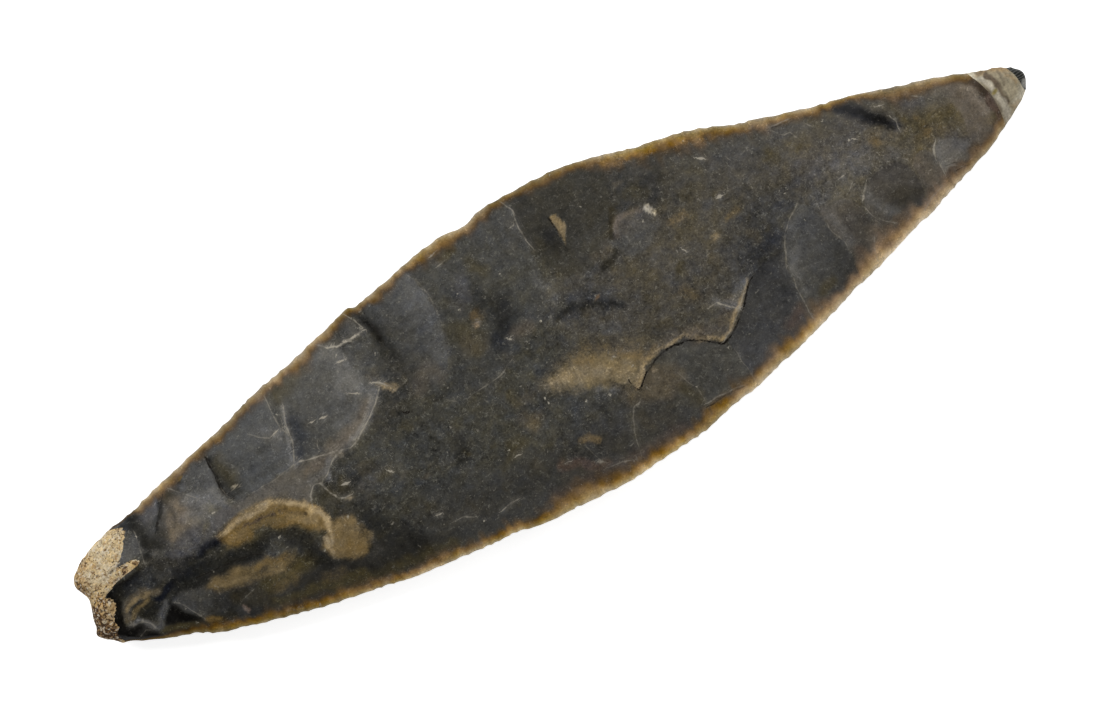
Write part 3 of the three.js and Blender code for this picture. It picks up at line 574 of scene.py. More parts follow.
def lower_face(x, y):
    """Height of the underside: the cutting edge less a belly of the same form with a power of its own, never
    below the flat that the blade lies on, plus what the scars took."""
    here = station(x, y)
    depth = lower_depth * follow(lower_depth_shares, x)
    belly = depth * (1 - here["off_middle"] ** belly_power) * here["ends"]
    face = np.maximum(here["edge"] - belly, 0)
    clear = smooth_step(0, 1.2, face)
    sway = layered(x, y, lower_sway) * clear
    taken = (scar_field(lower_scars, x, y, scar_wall)[0] + sway) * here["bite"] + retouch_drop(x, here)
    return face + np.clip(taken, -0.05 * clear, (here["edge"] - face) * belly_taken)


# How near to a ridge a point must be to move onto it, in steps of the net, and where ridges are looked for
snap_share = 0.36
snap_margin = 0.5


def snapped(scars, x, y, column_step, row_step):
    """A point of the net that lies within that share of a step of a ridge moves onto it: its new place is
    the nearest point of the ring, with the move counted in steps of the net."""
    best = np.full(len(x), snap_share)
    new_x, new_y = x.copy(), y.copy()
    for scar in scars:
        ring = rounded_ring(scar["ring"])
        ring = np.vstack([ring, ring[:1]])
        near = near_box(ring, x, y, snap_margin)
        if not len(near):
            continue
        foot = nearest_on(ring, x[near], y[near])[1]
        move = np.hypot((foot[:, 0] - x[near]) / column_step, (foot[:, 1] - y[near]) / row_step[near])
        better = move < best[near]
        chosen = near[better]
        best[chosen] = move[better]
        new_x[chosen], new_y[chosen] = foot[better].T
    return new_x, new_y


# How ragged the rind ends: the height, size and seed of each noise, and how much of it lies across the blade
rind_ragged = ((0.45, 1.7, 95), (0.4, 0.6, 96))
rind_ragged_run = 40


def rind_edge(across):
    """Where the rind ends: its line across the blade, made ragged by noise of two sizes."""
    ragged = layered(across * rind_ragged_run, across, rind_ragged)
    return follow(cortex_line, across) + ragged * smooth_step(0, 0.12, across)


# How much closer the net's rows lie at the edges, and from which angle on an edge of the mesh is sharp
edge_crowding = 0.3
sharp_angle = math.radians(50)


def face_net(lines, columns, rows, face, scars, snap):
    """Places and heights of one face between two lines across the blade. The first parameter runs from
    line to line, the second from the lower to the upper edge, crowded towards the edges by a sine."""
    t = np.arange(rows + 1) / rows
    across = t - edge_crowding * np.sin(2 * np.pi * t) / (2 * np.pi)
    start, end = (line(across) if callable(line) else follow(line, across) for line in lines)
    u = np.arange(columns + 1)[:, None] / columns
    x = start + (end - start) * u
    low, high = lower_rim(x), upper_rim(x)
    y = low + (high - low) * across
    if snap:
        row_step = np.gradient(across) * (high - low)
        inner = (slice(1, columns), slice(1, rows))
        step = (end - start).mean() / columns
        sx, sy = snapped(scars, x[inner].ravel(), y[inner].ravel(), step, row_step[inner].ravel())
        x[inner], y[inner] = sx.reshape(x[inner].shape), sy.reshape(y[inner].shape)
    z = face(x.ravel(), y.ravel()).reshape(x.shape)
    return np.stack([x, y, z], -1)


def stone_shell(name, lines, columns, rows, under_rows, open_end, relief=None, snap=True):
    """A closed shell of upper net, lower net and a wall at each line that it shares with its neighbour. The
    two nets share their edge points, and at an end of the blade, open_end, all the points there."""
    upper = face_net(lines, columns, rows, upper_face, upper_scars, snap)
    lower = face_net(lines, columns, under_rows, lower_face, lower_scars, snap)
    if relief:
        relief(upper, lower)
    rim_height = station(upper[..., 0].ravel(), upper[..., 1].ravel())["edge"].reshape(upper.shape[:2])
    upper[:, 0, 2], upper[:, -1, 2] = rim_height[:, 0], rim_height[:, -1]
    if open_end is not None:
        upper[open_end, :, 2] = rim_height[open_end]
    top = np.arange((columns + 1) * (rows + 1)).reshape(columns + 1, rows + 1)
    under = top.size + np.arange((columns + 1) * (under_rows + 1)).reshape(columns + 1, under_rows + 1)
    under[:, 0], under[:, -1] = top[:, 0], top[:, -1]
    if open_end is not None:
        under[open_end] = top[open_end]
    corner = lambda net, a, b: net[a:net.shape[0] - 1 + a, b:net.shape[1] - 1 + b].ravel()
    turns = ((top, ((0, 0), (1, 0), (1, 1), (0, 1))), (under, ((0, 0), (0, 1), (1, 1), (1, 0))))
    quads = [np.stack([corner(net, a, b) for a, b in turn], 1) for net, turn in turns]
    faces = [list(q) for q in np.vstack(quads).tolist()]
    many = rows // under_rows
    for column, turned in ((0, False), (columns, True)):
        if open_end is not None and column == open_end % (columns + 1):
            continue
        for k in range(under_rows):
            over = top[column, k * many:(k + 1) * many + 1].tolist()
            wall = [int(under[column, k]), *over, int(under[column, k + 1])]
            wall = [p for i, p in enumerate(wall) if i == 0 or p != wall[i - 1]]
            if wall[0] == wall[-1]:
                wall.pop()
            faces.append(wall[::-1] if turned else wall)
    places = np.vstack([upper.reshape(-1, 3), lower.reshape(-1, 3)])
    used, packed = np.unique(np.concatenate([np.array(f) for f in faces]), return_inverse=True)
    sizes = np.array([len(f) for f in faces])
    loops = np.split(packed, np.cumsum(sizes)[:-1])
    mesh = bpy.data.meshes.new(name)
    mesh.from_pydata((places[used] * mm).tolist(), [], [l.tolist() for l in loops])
    mesh.shade_smooth()
    mesh.set_sharp_from_angle(angle=sharp_angle)
    piece = bpy.data.objects.new(name, mesh)
    bpy.context.scene.collection.objects.link(piece)
    return piece, places[used], used < top.size


body_piece, body_places, on_top = stone_shell(
    "chert_body_stone", (rind_edge, pale_line), columns=500, rows=128, under_rows=64, open_end=None)

# Colours in the chert: red, green, blue, and how rough the surface is in that place
old_face = (0.072, 0.064, 0.0505, 0.50)
left_grey = (0.052, 0.050, 0.042, 0.47)
low_grey = (0.037, 0.034, 0.028, 0.45)
mid_grey = (0.054, 0.052, 0.047, 0.46)
light_grey = (0.082, 0.080, 0.076, 0.44)
# Painted sheen: the lamps' soft reflection on smooth scar floors, laid into the colour
painted_sheen = (0.150, 0.144, 0.134, 0.46)
blue_grey = (0.040, 0.042, 0.046, 0.40)
navy = (0.0065, 0.0075, 0.011, 0.28)
dark = (0.014, 0.0135, 0.0115, 0.32)
dark_low = (0.016, 0.014, 0.010, 0.32)
near_black = (0.004, 0.0035, 0.003, 0.22)
cream = (0.215, 0.157, 0.080, 0.60)
pale_cream = (0.355, 0.268, 0.152, 0.60)
lens_cream = (0.196, 0.154, 0.090, 0.60)
ochre = (0.155, 0.100, 0.034, 0.56)
tan = (0.172, 0.120, 0.054, 0.56)
streak = (0.130, 0.093, 0.042, 0.54)
olive_brown = (0.060, 0.047, 0.018, 0.50)
warm = (0.088, 0.072, 0.045, 0.50)
pinkish = (0.125, 0.102, 0.078, 0.50)
brown_band = (0.090, 0.060, 0.044, 0.48)
frosted = (0.185, 0.152, 0.115, 0.50)
amber = (0.205, 0.118, 0.035, 0.46)
yellow_spot = (0.190, 0.115, 0.020, 0.50)
beige = (0.140, 0.112, 0.080, 0.50)
violet_grey = (0.082, 0.079, 0.082, 0.46)
# A brighter painted sheen: the same soft reflection where it is strongest
bright_painted_sheen = (0.205, 0.200, 0.195, 0.46)
umber = (0.028, 0.023, 0.013, 0.36)
buff = (0.102, 0.082, 0.054, 0.50)
pale_kinds = (cream, pale_cream, ochre, tan, streak, lens_cream)

# Broad patches of the old face: colour, cover, half width, softness, and the run of points they lie on
broad_patches = [
    (left_grey, 0.95, 12, 0.5, [(-44, -8), (-20, -6), (-4, 4), (-4, 14)]),
    (low_grey, 0.8, 5, 0.6, [(-40, -19), (-20, -22), (0, -23)]),
    (old_face, 0.95, 12, 0.5, [(14, 2), (34, 4), (56, 3)]),
    (old_face, 0.5, 7, 0.7, [(12, -6), (26, -8)]),
    (low_grey, 0.9, 6, 0.6, [(8, 22), (22, 22), (32, 20)]),
    (warm, 0.9, 8.5, 0.7, [(78, 0), (92, 0)]),
    (warm, 0.7, 8, 0.8, [(62, 2), (80, 1)]),
    (violet_grey, 0.5, 3, 0.8, [(60, 5), (68, 3), (72, 8)]),
    (low_grey, 0.7, 6, 0.8, [(-60, -14), (-50, -6)]),
    (dark_low, 0.7, 5, 0.7, [(-74, -14), (-62, -17), (-50, -20)]),
    (dark, 0.8, 5, 0.6, [(-90, -4), (-82, -8), (-78, -12)]),
    (light_grey, 0.5, 5, 0.8, [(-84, 9), (-74, 9), (-64, 12)]),
    (painted_sheen, 0.3, 4, 0.9, [(60, -1), (66, 1.5), (74, -1)]),
    (blue_grey, 0.6, 6, 0.7, [(44, -3), (50, 0)]),
]

# Patches that lie over the scars too. Where the half width is nothing, the points are the patch's outline
# and its softness is in millimetres
patches = [
    # The black stone next to the rind, its ochre crescents, and the blue-black veins that run in from it
    (umber, 0.85, 0, 1, [(-96.7, 2.8), (-89.5, 3.1), (-83.5, 3.7), (-82.5, -0.3), (-89.5, -3.3),
        (-96.7, -1.2)]),
    (near_black, 0.97, 1.2, 0.35, [(-101.4, -7.6), (-100.2, -5), (-99.4, -2.4), (-98.4, -0.7),
        (-98.7, 0.4)]),
    (near_black, 0.95, 0.9, 0.5, [(-98.8, 0.6), (-96.7, 1.4), (-94.9, 1.7), (-92.3, 2)]),
    (dark, 0.8, 1.5, 0.7, [(-96.7, 0), (-93.5, 0.5), (-90.5, 0.9)]),
    (near_black, 0.95, 0, 0.35, [(-101.4, -6.2), (-99.2, -6.4), (-97.1, -6.9), (-95.8, -7.9), (-94.9, -9.3),
        (-94.1, -10.3), (-96.7, -11), (-101.4, -9.5)]),
    (dark, 0.9, 0, 0.6, [(-96, -4.8), (-93.1, -3.5), (-91.3, -3.7), (-92.1, -5.7), (-93.5, -7.7),
        (-94.7, -7.7), (-95.8, -6.3)]),
    (blue_grey, 0.5, 2, 0.8, [(-93.5, -0.7), (-89.5, 0.1), (-86.5, -0.9)]),
    (navy, 0.95, 0.8, 0.5, [(-91.1, -4.2), (-88.9, -3.7), (-85.9, -2.8), (-83.1, -2.6), (-79.9, -3.3)]),
    (navy, 0.97, 0.95, 0.5, [(-85.1, -1.2), (-79.9, -0.5), (-75.5, -0.1), (-74.1, 0.2)]),
    (dark, 0.92, 1.8, 0.6, [(-85.5, -4), (-79.5, -4.5), (-73.5, -4.9), (-69.6, -5.4)]),
    (dark, 0.6, 1, 0.7, [(-81.5, -1.7), (-75.5, -2)]),
    (mid_grey, 0.85, 0, 0.5, [(-88.7, -6.1), (-85.5, -5.1), (-82.7, -6.3), (-81.3, -7.9), (-82.7, -10.3),
        (-85.1, -12.5), (-86.7, -9.7)]),
    (near_black, 0.95, 0, 0.3, [(-92.5, -9.3), (-90.5, -7.5), (-89.1, -6.2), (-88.2, -7.3), (-87, -9.8),
        (-85.7, -11.8), (-88, -11.9), (-91, -10.7)]),
    (umber, 0.8, 1.1, 0.6, [(-92.5, -10.7), (-88.5, -12.4), (-84.3, -13.5), (-80.5, -14.3)]),
    (olive_brown, 0.7, 0.6, 0.7, [(-93.5, -10), (-89.9, -11.6), (-86.5, -12.8)]),
    (buff, 0.75, 0.6, 0.8, [(-98.1, -5.3), (-97.8, -3.7), (-96.7, -2.4), (-94.7, -1.9), (-92.5, -2),
        (-90.7, -2.7)]),
    (cream, 0.8, 0.32, 0.9, [(-97.5, -3.5), (-96, -2.6), (-94.1, -2.3), (-92.5, -2.4)]),
    (streak, 0.95, 0.45, 0.8, [(-97.1, -5.2), (-96.2, -4.3), (-94.5, -3.8), (-92.9, -3.3)]),
    (dark, 0.6, 0.25, 0.8, [(-97.1, -4.3), (-95.6, -3.5), (-93.9, -3.1)]),
    (umber, 0.6, 0.5, 0.9, [(-95.6, -5.3), (-93.9, -4.7), (-92.5, -4.3)]),
    (painted_sheen, 0.7, 0.4, 0.7, [(-98.5, -6), (-96.2, -6.4), (-94.8, -7.5), (-94.2, -8.7)]),
    (light_grey, 0.85, 0.6, 0.7, [(-93.5, -9.2), (-91.9, -7.5), (-90.3, -5.7)]),
    (ochre, 0.95, 0, 0.4, [(-85.1, -12.1), (-83.1, -12), (-82, -13.2), (-82.4, -14.7), (-84.3, -14.3)]),
    # The stone between the rind and the little fan of flakes, with a dark rib
    (light_grey, 0.85, 0, 0.5, [(-95.1, 4.8), (-92.1, 7.1), (-90.3, 9.5), (-89.1, 8.7), (-89.1, 4.7)]),
    (low_grey, 0.9, 2.8, 0.7, [(-86.3, 8.7), (-85.9, 3.7), (-84.1, 1.3)]),
    (dark, 0.5, 1.8, 0.8, [(-87.1, 9.7), (-86.1, 6.1), (-85.7, 4.7)]),
    (light_grey, 0.6, 0.7, 0.9, [(-87.7, 3.3), (-86.5, 3.9), (-85.1, 2.7)]),
    (dark, 0.85, 0.8, 0.6, [(-88.3, 12.3), (-87.9, 9.2), (-88.2, 5.7), (-88.7, 3.7)]),
    (dark, 0.5, 0.6, 0.8, [(-86.9, 7.1), (-85.9, 4.5), (-86.5, 2.7)]),
    (dark, 0.85, 0, 0.4, [(-92.1, 11.9), (-87.5, 12.9), (-85.5, 12.1), (-86.3, 11.1), (-89.7, 10.7)]),
    (beige, 0.6, 0.6, 0.8, [(-85.9, 12.4), (-83.7, 12.9)]),
    (violet_grey, 0.6, 1.4, 0.8, [(-84.9, 10.3), (-82.9, 11.9)]),
    (violet_grey, 0.75, 1.8, 0.8, [(-82.5, 2.1), (-77.5, 2.5), (-71.5, 3.3)]),
    # The fan below the upper edge, with its beige streaks
    (beige, 0.65, 0, 1.1, [(-82.3, 3.9), (-81.7, 8.7), (-80.3, 11.5), (-78.1, 11.1), (-76.9, 8.3),
        (-77.3, 4.7)]),
    (umber, 0.85, 0, 0.8, [(-80.3, 14.7), (-78.2, 14.7), (-77.6, 12.1), (-78.9, 10.7), (-81.1, 11.5)]),
    (beige, 0.75, 0.7, 0.9, [(-78.9, 10.3), (-78.5, 7.9), (-78.6, 5.7)]),
    (beige, 0.6, 0.5, 0.9, [(-81.5, 8.3), (-81.8, 6.3), (-82.4, 4.3)]),
    (dark, 0.45, 0.35, 0.8, [(-80.5, 10.9), (-80.4, 8.5), (-80.8, 6.3)]),
    (dark, 0.85, 0.4, 0.6, [(-80.4, 13.3), (-82.3, 10.9), (-84.1, 8.7), (-85, 7.5)]),
    # Painted highlight: the pale band on the fan's right side, where it catches the lamps
    (bright_painted_sheen, 0.4, 1.1, 0.9, [(-76.7, 9.7), (-74.7, 8.5), (-72.7, 7.1)]),
    (painted_sheen, 0.5, 0.8, 0.9, [(-71.5, 8.7), (-70.8, 6.3)]),
    (painted_sheen, 0.45, 1.4, 0.9, [(-77.9, 6.1), (-74.5, 5.1), (-71.5, 6.1)]),
    (umber, 0.9, 0.7, 0.5, [(-77.4, 14.1), (-76.7, 13.6)]),
    (yellow_spot, 0.95, 0.4, 0.6, [(-76.5, 14), (-75.9, 14.2)]),
    # Painted shade: the dark strip inside the left rim of the scar beside the fan, on its steep wall
    (dark, 0.6, 0, 0.7, [(-69.7, 15.4), (-67.5, 15.2), (-66.9, 11.8), (-67.1, 8.8), (-65.6, 6.6), (-66.8, 5),
        (-68.6, 4.8), (-69.8, 7.4)]),
    (near_black, 0.8, 0.3, 0.6, [(-69.5, 14.8), (-69.4, 10.8), (-69.6, 7.8), (-68.8, 5.8)]),
    (light_grey, 0.5, 0.3, 0.8, [(-68.1, 15.2), (-66.9, 13), (-65.8, 10.8)]),
    # The hook: ochre, with a crisp cream rim above, and the round tan spot at its end
    (olive_brown, 0.5, 0, 1.4, [(-75.5, -2.3), (-69.6, -4.2), (-63.9, -5.1), (-58, -9), (-56, -10),
        (-58, -3), (-65.8, -0.1)]),
    (ochre, 0.95, 0, 0.85, [(-74.7, 0.9), (-71.5, 1.6), (-65.8, 2.2), (-63.3, 1.9), (-60, 0.1),
        (-57.2, -2.6), (-55.6, -3.6), (-54.4, -5.6), (-53.9, -8.8), (-55.4, -9.4), (-56.2, -8.6),
        (-58.4, -7), (-60.6, -5.2), (-62.9, -4.2), (-65.4, -2.5), (-67.9, -1.9), (-70, -2.9), (-72.3, -3.3),
        (-74.1, -2.3), (-75.1, -0.7)]),
    (tan, 0.8, 0.8, 0.7, [(-73.1, -1.3), (-71.1, -1.8), (-69.8, -1.4)]),
    (streak, 0.6, 0.6, 0.8, [(-68.1, -1.5), (-65.2, -2.1), (-62.6, -3.2)]),
    (cream, 0.8, 0.7, 0.7, [(-61, -3.2), (-58.8, -4.6), (-57.2, -6.2)]),
    (cream, 0.7, 0.6, 0.7, [(-69.2, 1.6), (-65.8, 1.8), (-63.5, 0.9)]),
    (pale_cream, 0.85, 0.5, 0.7, [(-74.1, 0.6), (-71.5, 0.9), (-68.6, 0.9), (-66.2, 0.8), (-64.5, 0.5)]),
    (pale_cream, 0.9, 0.45, 0.8, [(-65.2, 1.7), (-62.9, 1.3), (-60.6, 0.1), (-58.4, -1.7), (-56.8, -3)]),
    (pale_cream, 0.95, 0.8, 0.7, [(-56.4, -4.2), (-55.3, -5.6), (-54.9, -7.4), (-55.3, -9.2)]),
    (brown_band, 0.75, 0.3, 0.6, [(-69.6, -0.5), (-67.7, -0.8), (-65.8, -1), (-63.5, -1.7)]),
    (brown_band, 0.4, 0.3, 0.7, [(-62, -1.6), (-59.6, -3.2), (-57.6, -4.4)]),
    (tan, 0.97, 0, 0.7, [(-55.2, -8.7), (-52.6, -8.4), (-50.6, -9.4), (-49.3, -11.6), (-49.2, -13.8),
        (-50.4, -16.1), (-52.6, -17.2), (-54.4, -16.7), (-55.8, -15.3), (-57.6, -13.7), (-58.5, -11.8),
        (-57.8, -10), (-56.2, -9.2)]),
    (pale_cream, 0.8, 0.45, 0.7, [(-57.2, -10), (-57.6, -11.6), (-56.9, -12.9)]),
    (pale_cream, 0.8, 0.35, 0.7, [(-55.5, -9.2), (-56, -10.4), (-56.7, -11.8)]),
    (cream, 0.5, 0.6, 0.8, [(-53.6, -9.8), (-51.4, -10.6), (-50.4, -12.2)]),
    (ochre, 0.6, 0.7, 0.9, [(-53.2, -12.6), (-54.2, -14.6)]),
    (ochre, 0.5, 0.6, 0.9, [(-51.4, -14.6), (-52.4, -16)]),
    # Streaks and shades between the hook and the lower edge
    (streak, 0.78, 0, 1.2, [(-81.7, -7.3), (-79.9, -6.3), (-76.5, -6.6), (-73.1, -7.5), (-69.6, -8),
        (-66.4, -8.9), (-63.9, -10.3), (-64.3, -12), (-67.7, -11.7), (-71.5, -11.1), (-75.5, -9.7),
        (-79.5, -8.9)]),
    (tan, 0.7, 0.7, 0.9, [(-80.3, -7.3), (-77.5, -7.2), (-74.9, -7.6)]),
    (cream, 0.6, 0.4, 0.9, [(-78.5, -8.1), (-76.1, -8.5), (-74.1, -9.5)]),
    (ochre, 0.5, 0.7, 0.9, [(-71.5, -8.5), (-68.6, -8.8), (-65.8, -9.5)]),
    (cream, 0.5, 0.5, 0.9, [(-69, -10.4), (-66.6, -10.9)]),
    (umber, 0.5, 0.5, 0.9, [(-72.5, -9.7), (-70.2, -9.7)]),
    (olive_brown, 0.8, 1.4, 0.8, [(-71.5, -12.7), (-65.8, -12.9), (-62, -12.2)]),
    (streak, 0.45, 1.1, 0.9, [(-69.6, -13.6), (-65.8, -13.9)]),
    (dark, 0.7, 0.9, 0.6, [(-69.6, -4.6), (-64.9, -4.7), (-62, -6), (-59.6, -8)]),
    (dark, 0.75, 1.4, 0.7, [(-63.3, -7.4), (-60.4, -10), (-59.6, -14.6)]),
    (umber, 0.85, 1.6, 0.6, [(-77.5, -11.5), (-74.5, -13.1), (-72.9, -15.1)]),
    (dark_low, 0.9, 2.4, 0.7, [(-65.8, -16.7), (-57, -18.9), (-48, -20.4), (-42, -21.8)]),
    (dark_low, 0.7, 1.8, 0.8, [(-52, -20), (-44, -21.4), (-36, -22.8)]),
    (olive_brown, 0.75, 1, 0.8, [(-71.5, -16.3), (-63.9, -17.8), (-54, -20)]),
    (streak, 0.3, 1, 0.9, [(-60.4, -17), (-57.6, -17.3)]),
    (dark, 0.75, 3, 0.8, [(-47.4, -12.4), (-46, -16.9), (-42.4, -20.8)]),
    (dark, 0.5, 1, 0.8, [(-52, -2.4), (-49, -3.6), (-45, -2.6), (-42, -3.2)]),
    # Painted light and shade on the scars below the upper edge, for how their walls face the main lamp: the
    # blue-grey inside the left rim is shade, and the light grey, beige and sheen are where walls and floors face
    # the lamp
    (blue_grey, 0.85, 1.2, 0.8, [(-53.6, 6.2), (-52.6, 7.2), (-51.4, 9), (-51, 11.6)]),
    (light_grey, 0.6, 1.6, 0.9, [(-58, 13.6), (-56, 9.2), (-56.4, 6.6)]),
    (olive_brown, 0.5, 1.5, 0.9, [(-52, 18.6), (-49, 19.6), (-45, 20.9)]),
    (light_grey, 0.5, 0.5, 0.8, [(-68.3, 15.3), (-67.3, 13.8), (-66.2, 12.2)]),
    (olive_brown, 0.5, 1.4, 0.9, [(-67.7, 12.8), (-66.8, 8.8)]),
    (bright_painted_sheen, 0.2, 1.2, 0.9, [(-40.4, 12.6), (-39, 16.2), (-37.6, 13.6)]),
    (painted_sheen, 0.25, 2.4, 0.9, [(-42, 6), (-38.6, 9.6), (-37.8, 15.6)]),
    (beige, 0.6, 1.2, 0.8, [(-47, 4.5), (-43.6, 4.5), (-40, 6.2), (-37, 8.2)]),
    (bright_painted_sheen, 0.35, 0.7, 0.9, [(-43, 3.4), (-39, 5.3), (-36, 8), (-34.4, 9.8)]),
    (bright_painted_sheen, 0.45, 0.6, 0.9, [(-47.4, 2.8), (-49.4, 1.6), (-50.8, 0)]),
    (bright_painted_sheen, 0.5, 0.5, 0.9, [(-55, 5.5), (-53.6, 9.2), (-52.9, 12.6), (-51.4, 15.6)]),
    (bright_painted_sheen, 0.35, 0.8, 0.9, [(-57, 13.6), (-55, 10.6)]),
    (painted_sheen, 0.4, 1.6, 0.9, [(-39, 20.7), (-37, 16.6), (-36.6, 13.6)]),
    (beige, 0.6, 0.8, 0.8, [(-53.6, 2.8), (-49.4, 3), (-46.6, 3)]),
    (painted_sheen, 0.4, 0.5, 0.9, [(-54.4, 0.6), (-51.6, 1.2), (-48.6, 2.6)]),
    (pale_cream, 0.95, 0.55, 0.7, [(-32, 9.3), (-31.4, 8.6), (-30.9, 8)]),
    # The dark band that runs down from the notch in the upper edge
    (dark, 0.65, 1.6, 0.7, [(-31, 25), (-29.3, 21.8), (-28.5, 17.6), (-28.2, 13)]),
    (near_black, 0.75, 0.8, 0.6, [(-31.7, 25.1), (-30.2, 23.6), (-29.2, 21), (-28.7, 18.4)]),
    (low_grey, 0.6, 2.2, 0.8, [(-28.4, 12.6), (-29, 8.6), (-33, 5.7), (-37, 3)]),
    (mid_grey, 0.6, 1.5, 0.9, [(-25, 20.7), (-24, 11.6)]),
    (light_grey, 0.5, 1.8, 0.9, [(-19.6, 21.8), (-19, 15.6), (-20.6, 9.6)]),
    (olive_brown, 0.5, 2.4, 0.8, [(-15.6, 12.1), (-13, 8)]),
    (buff, 0.35, 1.6, 0.9, [(-14.6, 8.6), (-12.6, 7)]),
    (ochre, 0.35, 0.9, 0.9, [(-11, 12.4), (-10, 11.8)]),
    (beige, 0.5, 1, 0.9, [(-5.4, 5.7), (-2.6, 5.3)]),
    (dark, 0.5, 2.6, 0.8, [(-9, 15.1), (-5, 12), (-6.4, 9.1)]),
    (navy, 0.4, 1.4, 0.8, [(-9.6, 6.2), (-9.2, 5.1)]),
    (blue_grey, 0.6, 2, 0.8, [(4, 5.3), (9, 5.1), (13, 3)]),
    (dark, 0.7, 0.8, 0.7, [(3, 4.5), (7, 4.2), (11, 3), (15, 0.4)]),
    # Painted shadow: a dark curve in a shallow dip
    (dark, 0.75, 0.7, 0.7, [(15.4, 8.2), (17.4, 8.4), (19.2, 9.4)]),
    (buff, 0.5, 0.9, 0.9, [(15.6, 11), (17.6, 10.8)]),
    # Painted shadow along the rim of the little scar with the step above it
    (umber, 0.8, 0.7, 0.7, [(19.8, 12), (21, 14.6), (22.4, 17)]),
    (dark, 0.5, 1, 0.7, [(30.6, 18.8), (33.4, 18.8)]),
    (olive_brown, 0.6, 0.9, 0.7, [(-10.6, 25), (-8.4, 26)]),
    (olive_brown, 0.6, 1.3, 0.8, [(-60, -20.2), (-50, -21.8), (-36, -23.8)]),
    # The cream lens that the step cuts, and the cream and beige bands along the step, painted light where its
    # wall catches the lamps
    (streak, 0.5, 0, 2, [(-6, -5.4), (-2, -3.6), (4, -2.8), (8.4, -4.6), (13.4, -7.4), (14.2, -10.6),
        (11, -12), (4, -10), (-4, -8)]),
    (lens_cream, 0.88, 0, 1.6, [(-6, -6.2), (-3.6, -4.9), (0.4, -4.3), (4, -4.5), (7.4, -5.8), (10.4, -7.6),
        (12.6, -9.4), (12.4, -12), (11, -13.6), (10.1, -15.4), (9.4, -15.2), (8.6, -13.8), (6.8, -12.4),
        (3.6, -10.8), (0.4, -9.8), (-2.6, -8.6)]),
    (pale_cream, 0.25, 1.2, 0.9, [(-1.6, -7), (2.4, -7.6), (6.4, -9.4), (9.6, -11.4)]),
    (ochre, 0.5, 1.2, 0.8, [(10, -7.8), (12.8, -9.8)]),
    (ochre, 0.4, 1, 0.8, [(2.2, -5.2), (4.4, -6.2)]),
    (pale_cream, 0.4, 1, 0.9, [(-4.4, -6.4), (-1, -6)]),
    (painted_sheen, 0.4, 1, 0.9, [(9, -7.4), (12.4, -8.4)]),
    (pale_cream, 0.8, 0.5, 0.6, [(9.7, -15.4), (11, -13.9), (12.4, -13.3)]),
    (buff, 0.85, 0, 1.2, [(6.4, -13.4), (9.2, -15.6), (14, -13), (18.4, -14.6), (19, -19), (14, -20.6),
        (10.4, -18.6), (7, -17.6)]),
    (painted_sheen, 0.5, 0.45, 0.7, [(2.6, -11.6), (4.4, -12.6), (6.4, -14)]),
    # Painted light on the step's lit wall, above its dark foot
    (pale_cream, 0.85, 0.32, 0.9, [(12.4, -12.7), (14, -11.8), (17, -11.1), (22, -11.2), (25, -12.8),
        (28.4, -15.5)]),
    (beige, 0.4, 0.9, 0.9, [(14, -11.2), (18, -10.2), (22, -10.4), (25.6, -12)]),
    (cream, 0.6, 0.7, 0.8, [(13.4, -11.6), (16, -10.6)]),
    (beige, 0.45, 1.5, 0.9, [(24, -11.6), (28.4, -13.6), (31.4, -12.2), (34, -10)]),
    (pale_cream, 0.75, 0.3, 0.9, [(28.8, -15.2), (31, -14.1), (34.2, -11.6), (36.4, -9.4), (38.2, -7.7)]),
    (painted_sheen, 0.5, 0.8, 0.9, [(31.2, -8.4), (33.4, -10.4), (35.4, -9.4), (37.3, -7.6)]),
    (olive_brown, 0.5, 1.2, 0.8, [(17.6, -20), (19, -23)]),
    (tan, 0.6, 0.6, 0.7, [(-4.8, -18.6), (-3, -19), (-1.6, -20.2)]),
    # Painted shadow along the rim of the scars near the lower edge
    (brown_band, 0.75, 0.8, 0.6, [(-10.4, -20.9), (-8, -21.8), (-5.5, -23.9), (-2.6, -25)]),
    (brown_band, 0.5, 1.5, 0.9, [(-14, -26), (0, -27.4), (14, -27)]),
    (streak, 0.45, 1.1, 0.8, [(27, -3.8), (28.2, -5.2)]),
    (tan, 0.35, 0.9, 0.8, [(31.6, 9), (34, 9.4)]),
    (streak, 0.5, 0.6, 0.8, [(40.6, 4.6), (43, 4.6)]),
    (pale_cream, 0.3, 0.8, 0.7, [(37, 2.3)]),
    (beige, 0.35, 1.8, 0.9, [(23.4, 13.2), (26.4, 13.2)]),
    (pinkish, 0.9, 0.5, 0.6, [(20.8, 11.8), (21.8, 14), (23, 15.5), (25.5, 15.1), (27.8, 14.3)]),
    (light_grey, 0.5, 2.2, 0.9, [(22.6, 9.6), (25.6, 12)]),
    (navy, 0.4, 2, 0.8, [(43.5, -4.6), (46.5, -2.8)]),
    (light_grey, 0.4, 1.6, 0.9, [(58, 0), (60, -2.6), (66, -1)]),
    (low_grey, 0.5, 1, 0.8, [(67.6, -12), (69, -10), (74, -10.4)]),
    (umber, 0.45, 1.4, 0.9, [(72, -8), (75, -9.4)]),
    (brown_band, 0.6, 1.2, 0.9, [(41.6, -19.6), (44.6, -17.6)]),
    (olive_brown, 0.6, 0.9, 0.9, [(50, -17), (52.4, -16)]),
    # Painted sheen on the floors of the scars along the lower edge, where they face the lamps
    (painted_sheen, 0.45, 0.8, 0.9, [(47.2, -15), (47.4, -10.9), (49.1, -7.4)]),
    (painted_sheen, 0.35, 0.9, 0.9, [(59.4, -12), (59, -9), (58.2, -5)]),
    (pinkish, 0.7, 1.2, 0.9, [(65.4, -11.6), (63.4, -14), (62.6, -16)]),
    (brown_band, 0.5, 0.9, 0.9, [(60, -13.4), (60.8, -15.8)]),
